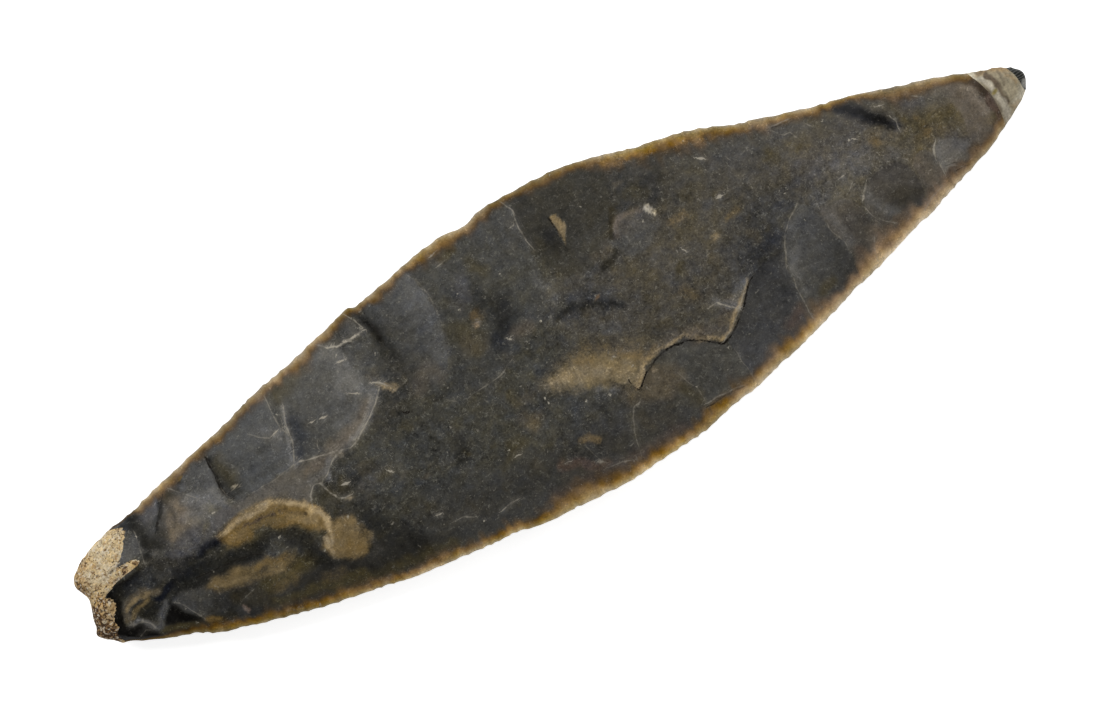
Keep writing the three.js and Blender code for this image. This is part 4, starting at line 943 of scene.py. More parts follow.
    (painted_sheen, 0.5, 1, 0.9, [(66.6, -4.6), (67.2, -7.4), (69.4, -10.4)]),
    (pinkish, 0.6, 1.4, 0.9, [(78.6, -5), (79.4, -9)]),
    (light_grey, 0.5, 1, 0.8, [(-19, 25), (-18, 19.6), (-18.2, 13.6), (-20, 8.2)]),
    (left_grey, 0.5, 0.9, 0.9, [(-15.2, 25), (-14.8, 19.6), (-15.2, 14.6), (-17, 9)]),
    (beige, 0.3, 1.4, 0.9, [(-26.4, 5.7), (-24, 8.2), (-22.4, 6.2)]),
    (violet_grey, 0.4, 1.4, 0.9, [(-11.6, 16.6), (-9.4, 19.6)]),
    (olive_brown, 0.5, 1.1, 0.9, [(-6, 22.2), (-5, 19.6)]),
    (navy, 0.45, 1.3, 0.9, [(9.6, 19.6), (9.2, 16.4)]),
    (navy, 0.4, 1.6, 0.9, [(-6, 11.6), (-6.4, 8.4), (-8.4, 6)]),
    (bright_painted_sheen, 0.8, 0.35, 0.6, [(-11.3, 11), (-10.7, 11.5)]),
    (amber, 0.2, 0.6, 0.9, [(-11, 12.6), (-10, 12.8)]),
    (painted_sheen, 0.2, 0.9, 0.9, [(3.6, 12.5), (4.1, 9.6), (3.7, 6.8), (1, 4.3)]),
    # The dark streak and the pale, warm end of the blade
    (navy, 0.9, 0, 0.9, [(67.6, 14.8), (71.4, 13.6), (73.8, 11.4), (76.2, 8.4), (78.4, 5.2), (79, 3.6),
        (77.4, 3.2), (75.4, 5), (73.2, 7.6), (70.6, 10.8), (67.8, 13)]),
    (near_black, 0.7, 0.7, 0.9, [(70.6, 12.6), (74, 9.4), (77.4, 5)]),
    (dark, 0.7, 0.4, 0.6, [(77, 3.7), (78.8, 3.3)]),
    (ochre, 0.4, 0.9, 0.8, [(73.4, 3.2)]),
    (ochre, 0.4, 0.7, 0.8, [(82.6, 3), (83, -0.6)]),
    (amber, 0.9, 1.1, 0.8, [(84.2, 8.2), (86.4, 7.5)]),
    (buff, 0.6, 1.2, 0.9, [(86.6, 6.6), (88.4, 5.6)]),
    (amber, 0.8, 0.7, 0.9, [(93.4, 5.6), (94.6, 5)]),
    (olive_brown, 0.5, 1.2, 0.9, [(80.4, 4), (82, 1.6)]),
    (olive_brown, 0.4, 1.4, 0.9, [(84, 2.6), (88, 0.4)]),
    (violet_grey, 0.5, 1.4, 0.9, [(81.6, 7), (84.6, 6)]),
    (beige, 0.6, 1.6, 0.9, [(89, 6.4), (92, 5), (93.6, 2.6)]),
    (streak, 0.35, 0.9, 0.9, [(92.8, -3.4), (94.4, -4.4)]),
    (pinkish, 0.6, 2, 0.9, [(92, 4.6), (93.6, 0.4), (92.4, -4)]),
    (violet_grey, 0.6, 2.2, 0.9, [(83.6, -5), (86, -4.6), (87.6, -6)]),
    (painted_sheen, 0.6, 0.8, 0.9, [(83.4, -3.6), (82.8, -5.4), (82.6, -7.6)]),
    (brown_band, 0.85, 0.5, 0.7, [(81.2, -9.5), (83.6, -9.2), (86.6, -9.7)]),
    (light_grey, 0.5, 1.6, 0.9, [(89, 4.4), (86, 5)]),
    (frosted, 0.8, 0.7, 0.8, [(93.2, 4), (93.9, 3), (94.3, 1), (94.9, -1), (94.8, -2.8)]),
    (brown_band, 0.95, 0.8, 0.5, [(94.2, 5.2), (95, 4.2), (95.8, 2.6), (96.4, 0.8), (96.5, -0.2)]),
    (umber, 0.6, 0.7, 0.7, [(95.1, 4), (95.9, 2.4), (96.3, 0.6)]),
    (brown_band, 0.95, 0.75, 0.5, [(96.4, -1.2), (96.5, -3.2), (96.2, -5.2), (95.7, -6.4)]),
    (olive_brown, 0.5, 0.5, 0.8, [(95.5, -3.6), (95.2, -5.4)]),
]


# The scattered clouds: how many, their half width, cover and softness, and how long they are
cloud_count = 300
cloud_half = (0.3, 1.4)
cloud_cover = (0.15, 0.5)
cloud_softness = 0.7
cloud_stretch = 1.6


def scattered_clouds(count):
    """Small brown, olive and dark clouds at random places over the whole blade, two points to each."""
    pick = np.random.default_rng(33)
    kinds = (buff, olive_brown, olive_brown, dark, low_grey, light_grey, warm)
    clouds = []
    for _ in range(count):
        x, y, turn = pick.uniform(-60, 94), pick.uniform(-26, 27), pick.uniform(0, np.pi)
        half = pick.uniform(*cloud_half)
        run = cloud_stretch * half
        clouds.append((kinds[pick.integers(len(kinds))], pick.uniform(*cloud_cover), half, cloud_softness,
                       [(x, y), (x + run * np.cos(turn), y + run * np.sin(turn))]))
    return clouds


# Where light shines through the thin edge, given where its look changes along each side: the place
# along the blade, and how wide the glow is there, how orange and how strong
upper_glow = [
    (-105, 0.2, 0.4, 0.5), (-92, 0.2, 0.4, 0.3), (-87.4, 0.25, 0.4, 0.3), (-85.4, 0.9, 0.4, 0.9),
    (-78, 1.1, 0.5, 0.8), (-66, 1.3, 0.6, 0.85), (-52, 1.5, 0.6, 0.9), (-40, 1.3, 0.6, 0.9),
    (-31, 1.0, 0.9, 0.9), (-20, 1.5, 0.7, 1.0), (-8, 1.5, 0.8, 0.9), (2, 1.15, 0.8, 0.75), (8, 1.1, 1.0, 0.7),
    (20, 1.1, 1.0, 0.7), (27, 1.7, 1.0, 0.95), (34, 2.3, 1.0, 1.05), (46, 2.3, 1.0, 1.05), (54, 1.9, 0.8, 1.0),
    (62, 1.6, 0.7, 1.0), (67, 1.2, 0.7, 0.95), (72, 0.9, 0.8, 0.9), (76, 1.3, 0.7, 0.9), (80, 1.6, 0.7, 0.9),
    (86, 1.9, 0.7, 0.85), (90, 1.3, 0.3, 0.85), (93, 1.3, 0.5, 0.8), (97, 0.8, 0.6, 0.8), (105, 0.5, 0.3, 0.8),
]
lower_glow = [
    (-105, 0.2, 0.6, 0.6), (-97, 0.3, 0.9, 0.7), (-90, 1.0, 1.1, 0.85), (-82, 1.2, 1.1, 1.05),
    (-74, 1.3, 1.15, 1.15), (-62, 1.2, 1.2, 1.4), (-50, 1.15, 0.9, 1.55), (-38, 1.15, 0.85, 1.6),
    (-25, 1.7, 1.0, 1.45), (-10, 2.0, 1.0, 1.6), (5, 2.0, 1.0, 1.5), (16, 1.9, 0.95, 1.5),
    (26, 1.8, 0.9, 1.5), (36, 2.0, 0.6, 1.5), (44, 1.95, 0.7, 1.45), (52, 2.0, 0.5, 1.25), (60, 2.1, 0.4, 1.3),
    (66, 2.5, 0.2, 1.45), (76, 2.3, 0.15, 1.4), (84, 2.0, 0.25, 1.25), (92, 1.3, 0.3, 1.1), (105, 0.6, 0.3, 1.0),
]

# The glow's colour stops: how many widths in from the edge each lies, over what distance the stone's own
# colour takes over, and the colours of an orange and of a pale glow
glow_stops = [0, 0.35, 0.7, 1.0, 1.5]
glow_end = (0.9, 2.3)
orange_glow = [(0.31, 0.258, 0.165), (0.25, 0.170, 0.060), (0.178, 0.104, 0.029), (0.125, 0.070, 0.020),
               (0.066, 0.041, 0.018)]
pale_glow = [(0.50, 0.43, 0.325), (0.41, 0.306, 0.182), (0.27, 0.188, 0.107), (0.195, 0.132, 0.080),
             (0.105, 0.076, 0.052)]


# How the rims of patches waver along and across (height, size and seed), and how far off they still count
patch_waves_along = ((0.5, 2.6, 51), (0.25, 1.1, 52))
patch_waves_across = ((0.5, 2.6, 53), (0.25, 1.1, 54))
patch_margin = 1.2


def lay_patches(tone, patches, x, y, veil=None):
    """Each patch is laid over what is there. Its share is its cover, times one less the smooth step of the
    distance to its run of points, across its half width less and plus its softness; the distance wavers.
    A pale patch goes into the veil, if there is one: its colour there, and its share as the veil's cover,
    which a patch of another colour lowers again."""
    wx, wy = x + layered(x, y, patch_waves_along), y + layered(x, y, patch_waves_across)
    for colour, cover, half, soft, run in patches:
        run = np.array(run + run[:1] if half == 0 else run + run[-1:], float)
        margin = half * (1 + soft) + soft + patch_margin
        near = near_box(run, wx, wy, margin)
        if not len(near):
            continue
        gap = nearest_on(run, wx[near], wy[near])[0]
        if half == 0:
            gap = np.where(inside_ring(run[:-1], wx[near], wy[near]), -gap, gap)
            share = cover * (1 - smooth_step(-soft, soft, gap))[:, None]
        else:
            share = cover * (1 - smooth_step(half * (1 - soft), half * (1 + soft), gap))[:, None]
        if veil is not None and colour in pale_kinds:
            there, colour_share = veil[near, 3:], np.where(gap[:, None] < margin, np.maximum(share, 0.02), 0)
            weight = colour_share / np.maximum(colour_share + there * (1 - colour_share), 1e-6)
            veil[near, :3] = veil[near, :3] * (1 - weight) + np.array(colour[:3]) * weight
            veil[near, 3:] = there + share * (1 - there)
        else:
            tone[near] = tone[near] * (1 - share) + np.array(colour) * share
            if veil is not None:
                veil[near, 3:] *= 1 - share


# How the glow's width, strength and heat waver: height, size and seed
glow_width_waves = ((0.3, 5, 61), (0.2, 1.4, 62))
glow_power_waves = ((0.2, 7, 64), (0.14, 1.5, 66))
glow_heat_waves = ((0.35, 4.2, 63), (0.3, 1.2, 65))
glow_least_width = 0.15

# The glow's width without bites, and how much a bite's arch and its reach add
glow_plain, glow_by_arch, glow_by_reach = 0.74, 0.07, 0.11


def add_glow(tone, x, y, here):
    """The glow at the edge: its colour runs through five stops with the distance from the edge over the
    glow's own width, and past the last stop the stone's own colour takes over. Heat is the share of the
    orange stops, and power is the strength. The width wavers, and is a little wider for a longer bite of
    the retouch and at a bite's middle."""
    upper_side = here["across"] > 0.5
    width, heat, power = np.empty_like(x), np.empty_like(x), np.empty_like(x)
    for side, glow, row in ((upper_side, upper_glow, upper_retouch),
                            (~upper_side, lower_glow, lower_retouch)):
        places, *rows = zip(*glow)
        for numbers, values in zip(rows, (width, heat, power)):
            values[side] = np.interp(x[side], places, numbers)
        _, arch, reach = bite_at(row, x[side])
        width[side] *= glow_plain + glow_by_arch * arch * reach + glow_by_reach * reach
    width = width * (1 + layered(x, y, glow_width_waves))
    power = power * (1 + layered(x, y, glow_power_waves))
    heat = np.clip(heat + layered(x, y, glow_heat_waves), 0, 1.3)[:, None]
    ratio = here["from_edge"] / np.maximum(width, glow_least_width)
    stops = [np.stack([np.interp(ratio, glow_stops, np.array(glow)[:, c]) for c in range(3)], 1)
             for glow in (pale_glow, orange_glow)]
    colour = np.maximum(stops[0] * (1 - heat) + stops[1] * heat, 0.004) * power[:, None]
    share = (1 - smooth_step(*glow_end, ratio))[:, None]
    tone[:, :3] = tone[:, :3] * (1 - share) + colour * share
    return share[:, 0]


# The ground's blotches, and how much smoother the floor of a scar is
blotch_size = 13
floor_smoothing = 0.08


def lay_floors(tone, floor_tone, cover):
    """The floor colours of the scars replace what is there by their cover; scar floors are smoother."""
    tone[:, :3] = tone[:, :3] * (1 - cover[:, None]) + floor_tone
    tone[:, 3] -= floor_smoothing * cover


def chert_colours(places, on_top):
    """Red, green, blue and roughness at each point: the ground colour with broad patches, the floors of the
    scars, the patches over them, and the glow of the edge. The underside has a ground of its own. Gives the
    tone, the veil of pale stone with its cover, how much of each point is scar floor, and the glow."""
    x, y = places[:, 0], places[:, 1]
    here = station(x, y)
    tone = np.tile(np.array(left_grey), (len(x), 1))
    blotch = (0.5 + 0.5 * waves(x, y, blotch_size, 71))[:, None]
    tone += (np.array(mid_grey) - tone) * blotch
    veil, smooth_floor = np.tile((*cream[:3], 0.0), (len(x), 1)), np.zeros(len(x))
    for side, first, scars, over, chips in (
            (on_top, broad_patches + scattered_clouds(cloud_count), upper_scars, patches, upper_chips),
            (~on_top, [], lower_scars, underside_patches, [])):
        sx, sy, stone, pale = x[side], y[side], tone[side], veil[side]
        lay_patches(stone, first, sx, sy, pale)
        _, floor_tone, cover = scar_field(scars, sx, sy, scar_wall)
        lay_floors(stone, floor_tone, cover)
        pale[:, 3] *= 1 - cover
        smooth_floor[side] = cover
        lay_patches(stone, over, sx, sy, pale)
        _, floor_tone, cover = scar_field(chips, sx, sy, chip_wall)
        lay_floors(stone, floor_tone, cover)
        tone[side], veil[side] = stone, pale
    glow = add_glow(tone, x, y, here)
    veil[:, 3] *= 1 - glow
    return tone, veil, smooth_floor, glow


# The underside isn't seen in the photograph: the same stone, with a vein and a few soft patches
underside_patches = [
    (old_face, 0.7, 9, 0.7, [(-30, 2), (0, -3), (40, 1)]),
    (warm, 0.8, 7, 0.8, [(80, 0), (94, 0)]),
    (near_black, 0.85, 2.2, 0.5, [(-99, -6), (-97, -1), (-95, 2)]),
    (dark, 0.7, 3.5, 0.7, [(-92, 2), (-82, -4), (-70, -8)]),
    (cream, 0.8, 1.3, 0.5, [(-66, 6), (-60, 4.6), (-55, 6), (-52, 9)]),
    (tan, 0.6, 2.4, 0.6, [(-40, -12), (-34, -13)]),
    (pale_cream, 0.8, 0.5, 0.6, [(-42.4, -10.8), (-38, -10), (-33, -11.4)]),
    (painted_sheen, 0.4, 4, 0.9, [(-48, 12), (-36, 9), (-24, 12)]),
    (blue_grey, 0.6, 5, 0.8, [(-14, -14), (2, -12), (14, -15)]),
    (low_grey, 0.7, 5, 0.7, [(14, 18), (30, 16)]),
    (streak, 0.6, 1.6, 0.7, [(10, 9), (18, 11), (28, 10)]),
    (beige, 0.5, 1.4, 0.9, [(34, -8), (42, -5), (50, -6)]),
    (navy, 0.6, 1.2, 0.8, [(66, -8), (71, -3), (74, 2)]),
    (dark, 0.6, 2.2, 0.7, [(48, 12), (54, 6), (58, 2)]),
    (brown_band, 0.8, 1.2, 0.5, [(94.4, 5), (96, 1), (95.8, -6)]),
]

# The ridges on one side of each scar of the underside, pale too: partly bruised, partly painted highlight
underside_lines = [(0.6, 0.24, scar["ring"][1:4]) for scar in lower_scars]

# Pale ridge lines: how strong, half width, and the points; they are the arrises, partly bruised pale in handling
# and partly painted highlight where they catch the light
ridge_wear_and_highlight_lines = [
    (0.12, 0.35, [(3.7, 14.6), (3.4, 12.6), (4.6, 9.6), (3.7, 6.8), (1, 4.3)]),
    (0.3, 0.21, [(-70, 5.1), (-68.2, 4.5), (-60, 4.5), (-57, 5), (-55, 5.1)]),
    (0.86, 0.24, [(-55, 5.1), (-54.2, 7.1), (-53.3, 9.3), (-52.9, 11.6), (-52.6, 13.1), (-51.8, 15.1),
                  (-51.5, 16)]),
    (0.44, 0.23, [(-53.4, 9.8), (-53.9, 12.6), (-54, 16.6), (-53.8, 19.4)]),
    (0.97, 0.3, [(-55.2, 5.2), (-52, 4.6), (-50, 4.2), (-47, 3.3), (-44, 2.5)]),
    (0.96, 0.3, [(-44, 2.5), (-42, 3.3), (-41, 4), (-38, 5.7), (-35.5, 7.6), (-33.6, 9.7)]),
    (0.39, 0.18, [(-43, 3.7), (-40, 5.3), (-37, 7.6), (-35.4, 9.6)]),
    (0.81, 0.27, [(-56, -3), (-55.5, -1.5), (-54, -0.3), (-52.6, -0.5), (-50.5, 0.3), (-49.6, 1.3),
                 (-48, 2.3), (-46, 2.8)]),
    (0.96, 0.35, [(-52.6, -0.8), (-52, -3), (-51, -4.7), (-49.8, -5.4), (-48.8, -5.5)]),
    (1.3, 0.35, [(-39.6, 22.8), (-38.2, 21.6), (-36.8, 20.8)]),
    (1.9, 0.5, [(-36.8, 20.7), (-34, 20.6), (-31.2, 20.9)]),
    (0.52, 0.21, [(-38.5, 22.5), (-36.8, 21.6)]),
    (0.6, 0.23, [(-32.4, 25.6), (-31.2, 23.4), (-30.5, 21.1)]),
    (1.3, 0.3, [(-34.2, 11.2), (-32.8, 10.3), (-31.8, 9.2)]),
    (0.3, 0.23, [(-18.1, 26.5), (-17, 24), (-16.5, 20.7), (-16.4, 17.6), (-16.8, 14.6)]),
    (0.64, 0.23, [(5, 28.8), (5.8, 26.5), (5.3, 22.9), (5.2, 20.2), (5.6, 18.1)]),
    (0.47, 0.21, [(-20, -0.5), (-15, -0.3), (-12, 0.2), (-9, 1.4)]),
    (0.52, 0.21, [(-49.6, 5.5), (-49.1, 6.6)]),
    (0.52, 0.22, [(8.5, -17.9), (7.2, -17.9), (5.8, -20), (4.7, -22.6), (3.9, -26.5)]),
    (0.39, 0.18, [(17.6, -16), (18.5, -18.5), (19.6, -21), (19.9, -23.6)]),
    (0.81, 0.28, [(19.9, -24.6), (22, -24.3), (24, -24.6), (27, -24.9)]),
    (0.39, 0.18, [(29.7, -18.6), (29.9, -22), (30.1, -25)]),
    (0.56, 0.23, [(45.9, -20.5), (45.9, -17), (46, -13.5), (46.3, -12)]),
    (0.6, 0.25, [(46.3, -9.3), (48, -5.8), (49.5, -3.4), (51.7, -1.5), (54.3, 0.3)]),
    (0.39, 0.23, [(57.2, -6.6), (57.4, -8.2), (58.5, -10.8), (58.5, -13.3)]),
    (0.25, 0.21, [(52, -15.6), (53, -17.2), (53.6, -18.6)]),
    (0.47, 0.24, [(64, -13), (63, -15), (62.4, -17)]),
    (1.6, 0.32, [(67.8, -2.9), (66.6, -4), (65.6, -5.6)]),
    (1, 0.2, [(28.8, -15.6), (31, -14.5), (34, -12.1), (36.4, -9.8), (38, -8.1)]),
    (1.3, 0.24, [(31.2, -8.6), (32.4, -10), (34.4, -12)]),
    (0.8, 0.2, [(29.4, -8.8), (31.2, -8.5)]),
    (0.34, 0.21, [(75.6, -1.8), (76.8, -3), (77.1, -4.5)]),
    (1.4, 0.3, [(83.1, -3), (82.2, -4.2), (81.7, -5.5)]),
    (0.8, 0.22, [(81.9, -7), (81.8, -9)]),
    (0.6, 0.2, [(84, 7), (85.4, 6.2)]),
    (0.52, 0.22, [(75, -13.2), (76.4, -12.4), (78.2, -11.4), (80, -11)]),
    (0.6, 0.21, [(56.9, 15.8), (58.5, 15.6), (61, 15.2)]),
    (0.52, 0.18, [(56.9, 15.6), (57.8, 13.8), (58.8, 13), (60, 12.8), (60.6, 11.2)]),
    (0.44, 0.18, [(63.5, 12.6), (64.6, 11.3)]),
    (0.52, 0.24, [(-34.8, -19.8), (-32, -20), (-30.2, -21)]),
    (0.97, 0.32, [(-25, -22.7), (-23.5, -22.5), (-21.4, -22.3)]),
    (0.39, 0.18, [(-4.6, -20.4), (-4.2, -22), (-3.6, -23.6)]),
    (0.81, 0.39, [(-3.8, -24), (-3.1, -24.4)]),
    (0.52, 0.23, [(-3, -25.7), (0, -26.2), (2, -26.9)]),
    (0.81, 0.32, [(-12.3, 26.9), (-11.3, 27.1)]),
    (0.6, 0.23, [(-12, 24.5), (-10.2, 24.7)]),
    (0.34, 0.18, [(-23.2, 1.2), (-22.2, 0.2)]),
    (0.44, 0.22, [(-88.5, -6.5), (-87, -8.3), (-86, -10.3), (-85.1, -12.1)]),
    (0.6, 0.31, [(-97.8, -6.2), (-95.8, -6.5), (-94.6, -7.5), (-94.2, -8.6)]),
    (0.47, 0.18, [(-97.6, -8.7), (-96.2, -8.2), (-95.1, -8.7)]),
    (0.3, 0.18, [(-88.5, 9.2), (-89.5, 5.2), (-89.8, 2.7)]),
    (0.39, 0.23, [(-78.5, 13.2), (-76.5, 10.7), (-75, 9.2)]),
    (0.3, 0.21, [(-69.5, 5.6), (-69.8, 7.8)]),
    (0.44, 0.23, [(-76.3, -12.5), (-74.5, -11.9)]),
    (1.8, 0.37, [(-48.6, -2.9), (-48, -3)]),
    (1.8, 0.28, [(-40, -5), (-39.6, -5.4)]),
    (1.8, 0.28, [(63.7, 0.4), (64.6, 0.6)]),
    (1.8, 0.24, [(64.8, -2.2), (65.2, -1.8)]),
    (1.8, 0.32, [(42, 17.4), (42.6, 16.9)]),
    (0.44, 0.18, [(47, 14.6), (47.4, 13.8)]),
    (1.8, 0.39, [(41.8, 8.8), (42.2, 8.8)]),
    (1.8, 0.41, [(77.3, 8.7), (77.6, 8.6)]),
    (1.8, 0.35, [(69.9, 5.5), (70.1, 5.4)]),
    (1.8, 0.28, [(30.7, 3.6), (31, 3.2)]),
    (1.8, 0.25, [(-9.3, -20.8), (-8.8, -20.8)]),
    (1.8, 0.28, [(-17, -15), (-16.6, -15)]),
    (1.8, 0.28, [(-7.2, 5.3), (-6.8, 5.1)]),
    (1.8, 0.25, [(4.1, 24), (4.6, 24)]),
    (1.8, 0.32, [(-36.3, -17.1), (-35.7, -17.3)]),
    (1.8, 0.32, [(-38, 18), (-37, 18)]),
    (1.8, 0.3, [(-55.9, 12.1), (-55, 12.4)]),
    (0.4, 0.2, [(-59.5, 14.2), (-57, 12)]),
    (1.8, 0.3, [(-48.4, 10.5), (-48.1, 10.5)]),
    (1.8, 0.3, [(-45.9, 10.2), (-45.6, 10.2)]),
    (1.8, 0.26, [(-39.2, 11.8), (-38, 11)]),
    (0.8, 0.22, [(78.3, 5.6), (78.8, 4.4), (78.5, 3.1)]),
    (0.5, 0.2, [(65, -7), (65.8, -9.4), (67.6, -11.4), (68.8, -12.4)]),
    (0.4, 0.25, [(82.6, -8.2), (84, -8.4), (85.6, -9.6)]),
    (0.47, 0.37, [(-87.6, 3.3), (-86.9, 3.6)]),
]

# Dark lines: shut cracks, and painted shadow at the foot of the step and inside the rims of some scars
seam_and_shadow_lines = [
    (1.3, 0.26, [(-82.5, -4.3), (-79, -4.9), (-75.5, -5.1), (-72.5, -5.5), (-70.6, -5.9), (-69.6, -6.6)]),
    (1.6, 0.3, [(8.9, -13.2), (9.3, -14.9), (9.8, -15.8), (11.4, -14.5), (13, -13.3), (15, -12.2)]),
    (1.7, 0.34, [(15, -12.2), (17.5, -11.7), (20, -11.6), (22.5, -12.1), (25, -13.5), (28.4, -16.1)]),
    (1.5, 0.34, [(28.4, -16.1), (30.5, -15.4), (33, -13.8), (35.5, -11.8), (37.8, -8.9), (39.6, -7.7)]),
    (0.5, 0.35, [(39.6, -7.7), (41.5, -6.9), (43.5, -6.3)]),
    (0.8, 0.3, [(20, -25.2), (23, -24.9), (27, -25.3)]),
    (1, 0.32, [(-80.1, 13.2), (-82, 10.7), (-84.7, 7.5)]),
    (0.5, 0.2, [(-94.9, 8.7), (-93.5, 8.3)]),
    (1.2, 0.3, [(11.1, 21.8), (11.3, 19.2), (11.5, 16.8)]),
    (1.9, 0.3, [(-69.5, 14.6), (-69.6, 11.8), (-69.9, 8.4), (-69.6, 6.2)]),
    (0.9, 0.3, [(-28.9, 24.4), (-28.7, 20.7), (-28.4, 16.6)]),
    (0.6, 0.2, [(-96.9, -5.1), (-95.3, -3.7), (-93.5, -3.1)]),
    (0.6, 0.2, [(83, -7.9), (84.5, -8.1), (86, -9.3)]),
    (0.6, 0.2, [(82, -9.9), (84, -9.6), (87, -9.9)]),
    (0.45, 0.2, [(-93.1, -9.1), (-91.9, -7.5), (-90.5, -6.3)]),
    (0.6, 0.25, [(57, 15.4), (59, 15.2), (60.8, 14.9)]),
    (0.55, 0.22, [(-39, 22.2), (-37, 20.6), (-35, 19.9), (-31, 20.2)]),
    (0.45, 0.22, [(-52.9, -1), (-52.4, -3.2), (-51.4, -5), (-50, -6)]),
    (0.35, 0.25, [(-42, -1), (-41.2, -4), (-41.8, -7.2)]),
    (1.9, 0.42, [(-31.9, 3.1), (-31.4, 2.6), (-31, 2.9)]),
]

# How far from a line it still counts and how its place wavers, and the pale halo of a light line, painted light
# beside the ridge
line_reach = 1.1
line_waver, line_waver_size = 0.16, 1.7
halo_reach = 1.3
halo_share = 0.3
painted_halo_tone = (0.135, 0.124, 0.105)


def line_fields(lines, x, y):
    """For each point the line that counts most: the distance from it, with a sign for its side, over its half
    width, and its strength, which fades to nothing towards the reach."""
    ratio, strength = np.full(len(x), 9.0), np.zeros(len(x))
    wx = x + line_waver * waves(x, y, line_waver_size, 81)
    wy = y + line_waver * waves(x, y, line_waver_size, 82)
    for power, half, run in lines:
        run = np.array(run, float)
        near = near_box(run, wx, wy, line_reach)
        if not len(near):
            continue
        gap, _, side, _ = nearest_on(run, wx[near], wy[near])
        here = gap / half
        better = (gap < line_reach) & (here < np.abs(ratio[near]))
        chosen = near[better]
        fade = 1 - smooth_step(0.5 * line_reach, line_reach, gap[better])
        ratio[chosen] = here[better] * np.where(side[better] == 0, 1, side[better])
        strength[chosen] = power * fade
    return np.clip(ratio, -9, 9), strength


def lay_painted_halos(tone, x, y):
    """Painted light beside a pale ridge: the stone is a little paler, by a share of its strength, down to
    nothing at the halo's reach by the smooth step."""
    for power, _, run in ridge_wear_and_highlight_lines:
        run = np.array(run, float)
        near = near_box(run, x, y, halo_reach)
        if len(near):
            gap = nearest_on(run, x[near], y[near])[0]
            share = (halo_share * min(power, 1) * (1 - smooth_step(0, halo_reach, gap)))[:, None]
            tone[near, :3] = tone[near, :3] * (1 - share) + np.array(painted_halo_tone) * share


def give_numbers(mesh, name, values):
    """Puts one number on each point of the mesh, which the material reads by that name."""
    mesh.attributes.new(name, "FLOAT", "POINT").data.foreach_set("value", np.asarray(values, np.float32))


def give_colours(mesh, name, values):
    """Puts four numbers on each point of the mesh: red, green and blue, and a roughness or a cover."""
    colours = mesh.color_attributes.new(name, "FLOAT_COLOR", "POINT")
    colours.data.foreach_set("color", np.clip(values, 0, 1).astype(np.float32).ravel())


x, y = body_places[:, 0], body_places[:, 1]
tone, veil, smooth_floor, glow = chert_colours(body_places, on_top)
top_tone = tone[on_top]
lay_painted_halos(top_tone, x[on_top], y[on_top])
tone[on_top] = top_tone
give_colours(body_piece.data, "stone", tone)
give_colours(body_piece.data, "veil", veil)
give_numbers(body_piece.data, "glow", glow)
give_numbers(body_piece.data, "smooth_floor", smooth_floor)
for name, lines, under_lines in (("ridge_wear_and_highlight_line", ridge_wear_and_highlight_lines, underside_lines), ("seam_and_shadow_line", seam_and_shadow_lines, [])):
    ratio, strength = np.zeros(len(x)), np.zeros(len(x))
    ratio[on_top], strength[on_top] = line_fields(lines, x[on_top], y[on_top])
    ratio[~on_top], strength[~on_top] = line_fields(under_lines, x[~on_top], y[~on_top])
    give_numbers(body_piece.data, name, ratio)
    give_numbers(body_piece.data, name + "_share", strength)


def fill(tree, node, inputs):
    """Sets a node's sockets: each gets a value of its own, or a link to another node's output."""
    for key, value in inputs.items():
        if isinstance(value, bpy.types.NodeSocket):
            tree.links.new(value, node.inputs[key])
        else:
            node.inputs[key].default_value = value


def join(tree, kind, inputs=None, **settings):
    """A new node of that kind with its settings and its sockets filled."""
    made = tree.nodes.new("ShaderNode" + kind)
    for name, value in settings.items():
        setattr(made, name, value)
    fill(tree, made, inputs or {})
    return made


def sums(tree, operation, a, b=0.0, c=0.0):
    """One step of arithmetic on numbers."""
    return join(tree, "Math", {0: a, 1: b, 2: c}, operation=operation).outputs[0]


def times(tree, a, b):
    """The product of two numbers."""
    return sums(tree, "MULTIPLY", a, b)


def plus(tree, a, b):
    """The sum of two numbers."""
    return sums(tree, "ADD", a, b)


def swing(tree, noise, size):
    """Noise from 0 to 1 carried to half the size below and above nought."""
    return sums(tree, "MULTIPLY_ADD", noise, size, -size / 2)


def ramp(tree, value, low, high, to_low=0.0, to_high=1.0):
    """A value carried by the smooth step from low and high to two new values."""
    return join(tree, "MapRange", {"Value": value, "From Min": low, "From Max": high, "To Min": to_low,
                                   "To Max": to_high}, interpolation_type="SMOOTHSTEP").outputs[0]


def blend(tree, share, a, b):
    """Colour b laid over colour a by a share."""
    made = join(tree, "Mix", {"Factor": share, "A": a, "B": b}, data_type="RGBA")
    return next(out for out in made.outputs if out.type == "RGBA")


def grain(tree, place, per_mm, detail=3.0, roughness=0.55, output=0):
    """Noise with so many lumps to a millimetre; output 1 is three noises at once, as a colour."""
    return join(tree, "TexNoise", {"Vector": place, "Scale": per_mm / mm, "Detail": detail,
                                   "Roughness": roughness}).outputs[output]


def vectors(tree, operation, a, b, c=(1, 1, 1)):
    """One step of arithmetic on three numbers at once."""
    return join(tree, "VectorMath", {0: a, 1: b, 2: c}, operation=operation).outputs[0]


def scaled(tree, colour, share):
    """Three numbers, each times the share."""
    return join(tree, "VectorMath", {0: colour, "Scale": share}, operation="SCALE").outputs[0]


def shaken(tree, place, per_mm, far):
    """The place moved by noise, up to about a third of so many millimetres, to make round spots uneven."""
    off = vectors(tree, "SUBTRACT", grain(tree, place, per_mm, 2, 0.5, 1), (0.5, 0.5, 0.5))
    return vectors(tree, "ADD", place, scaled(tree, off, far * mm))


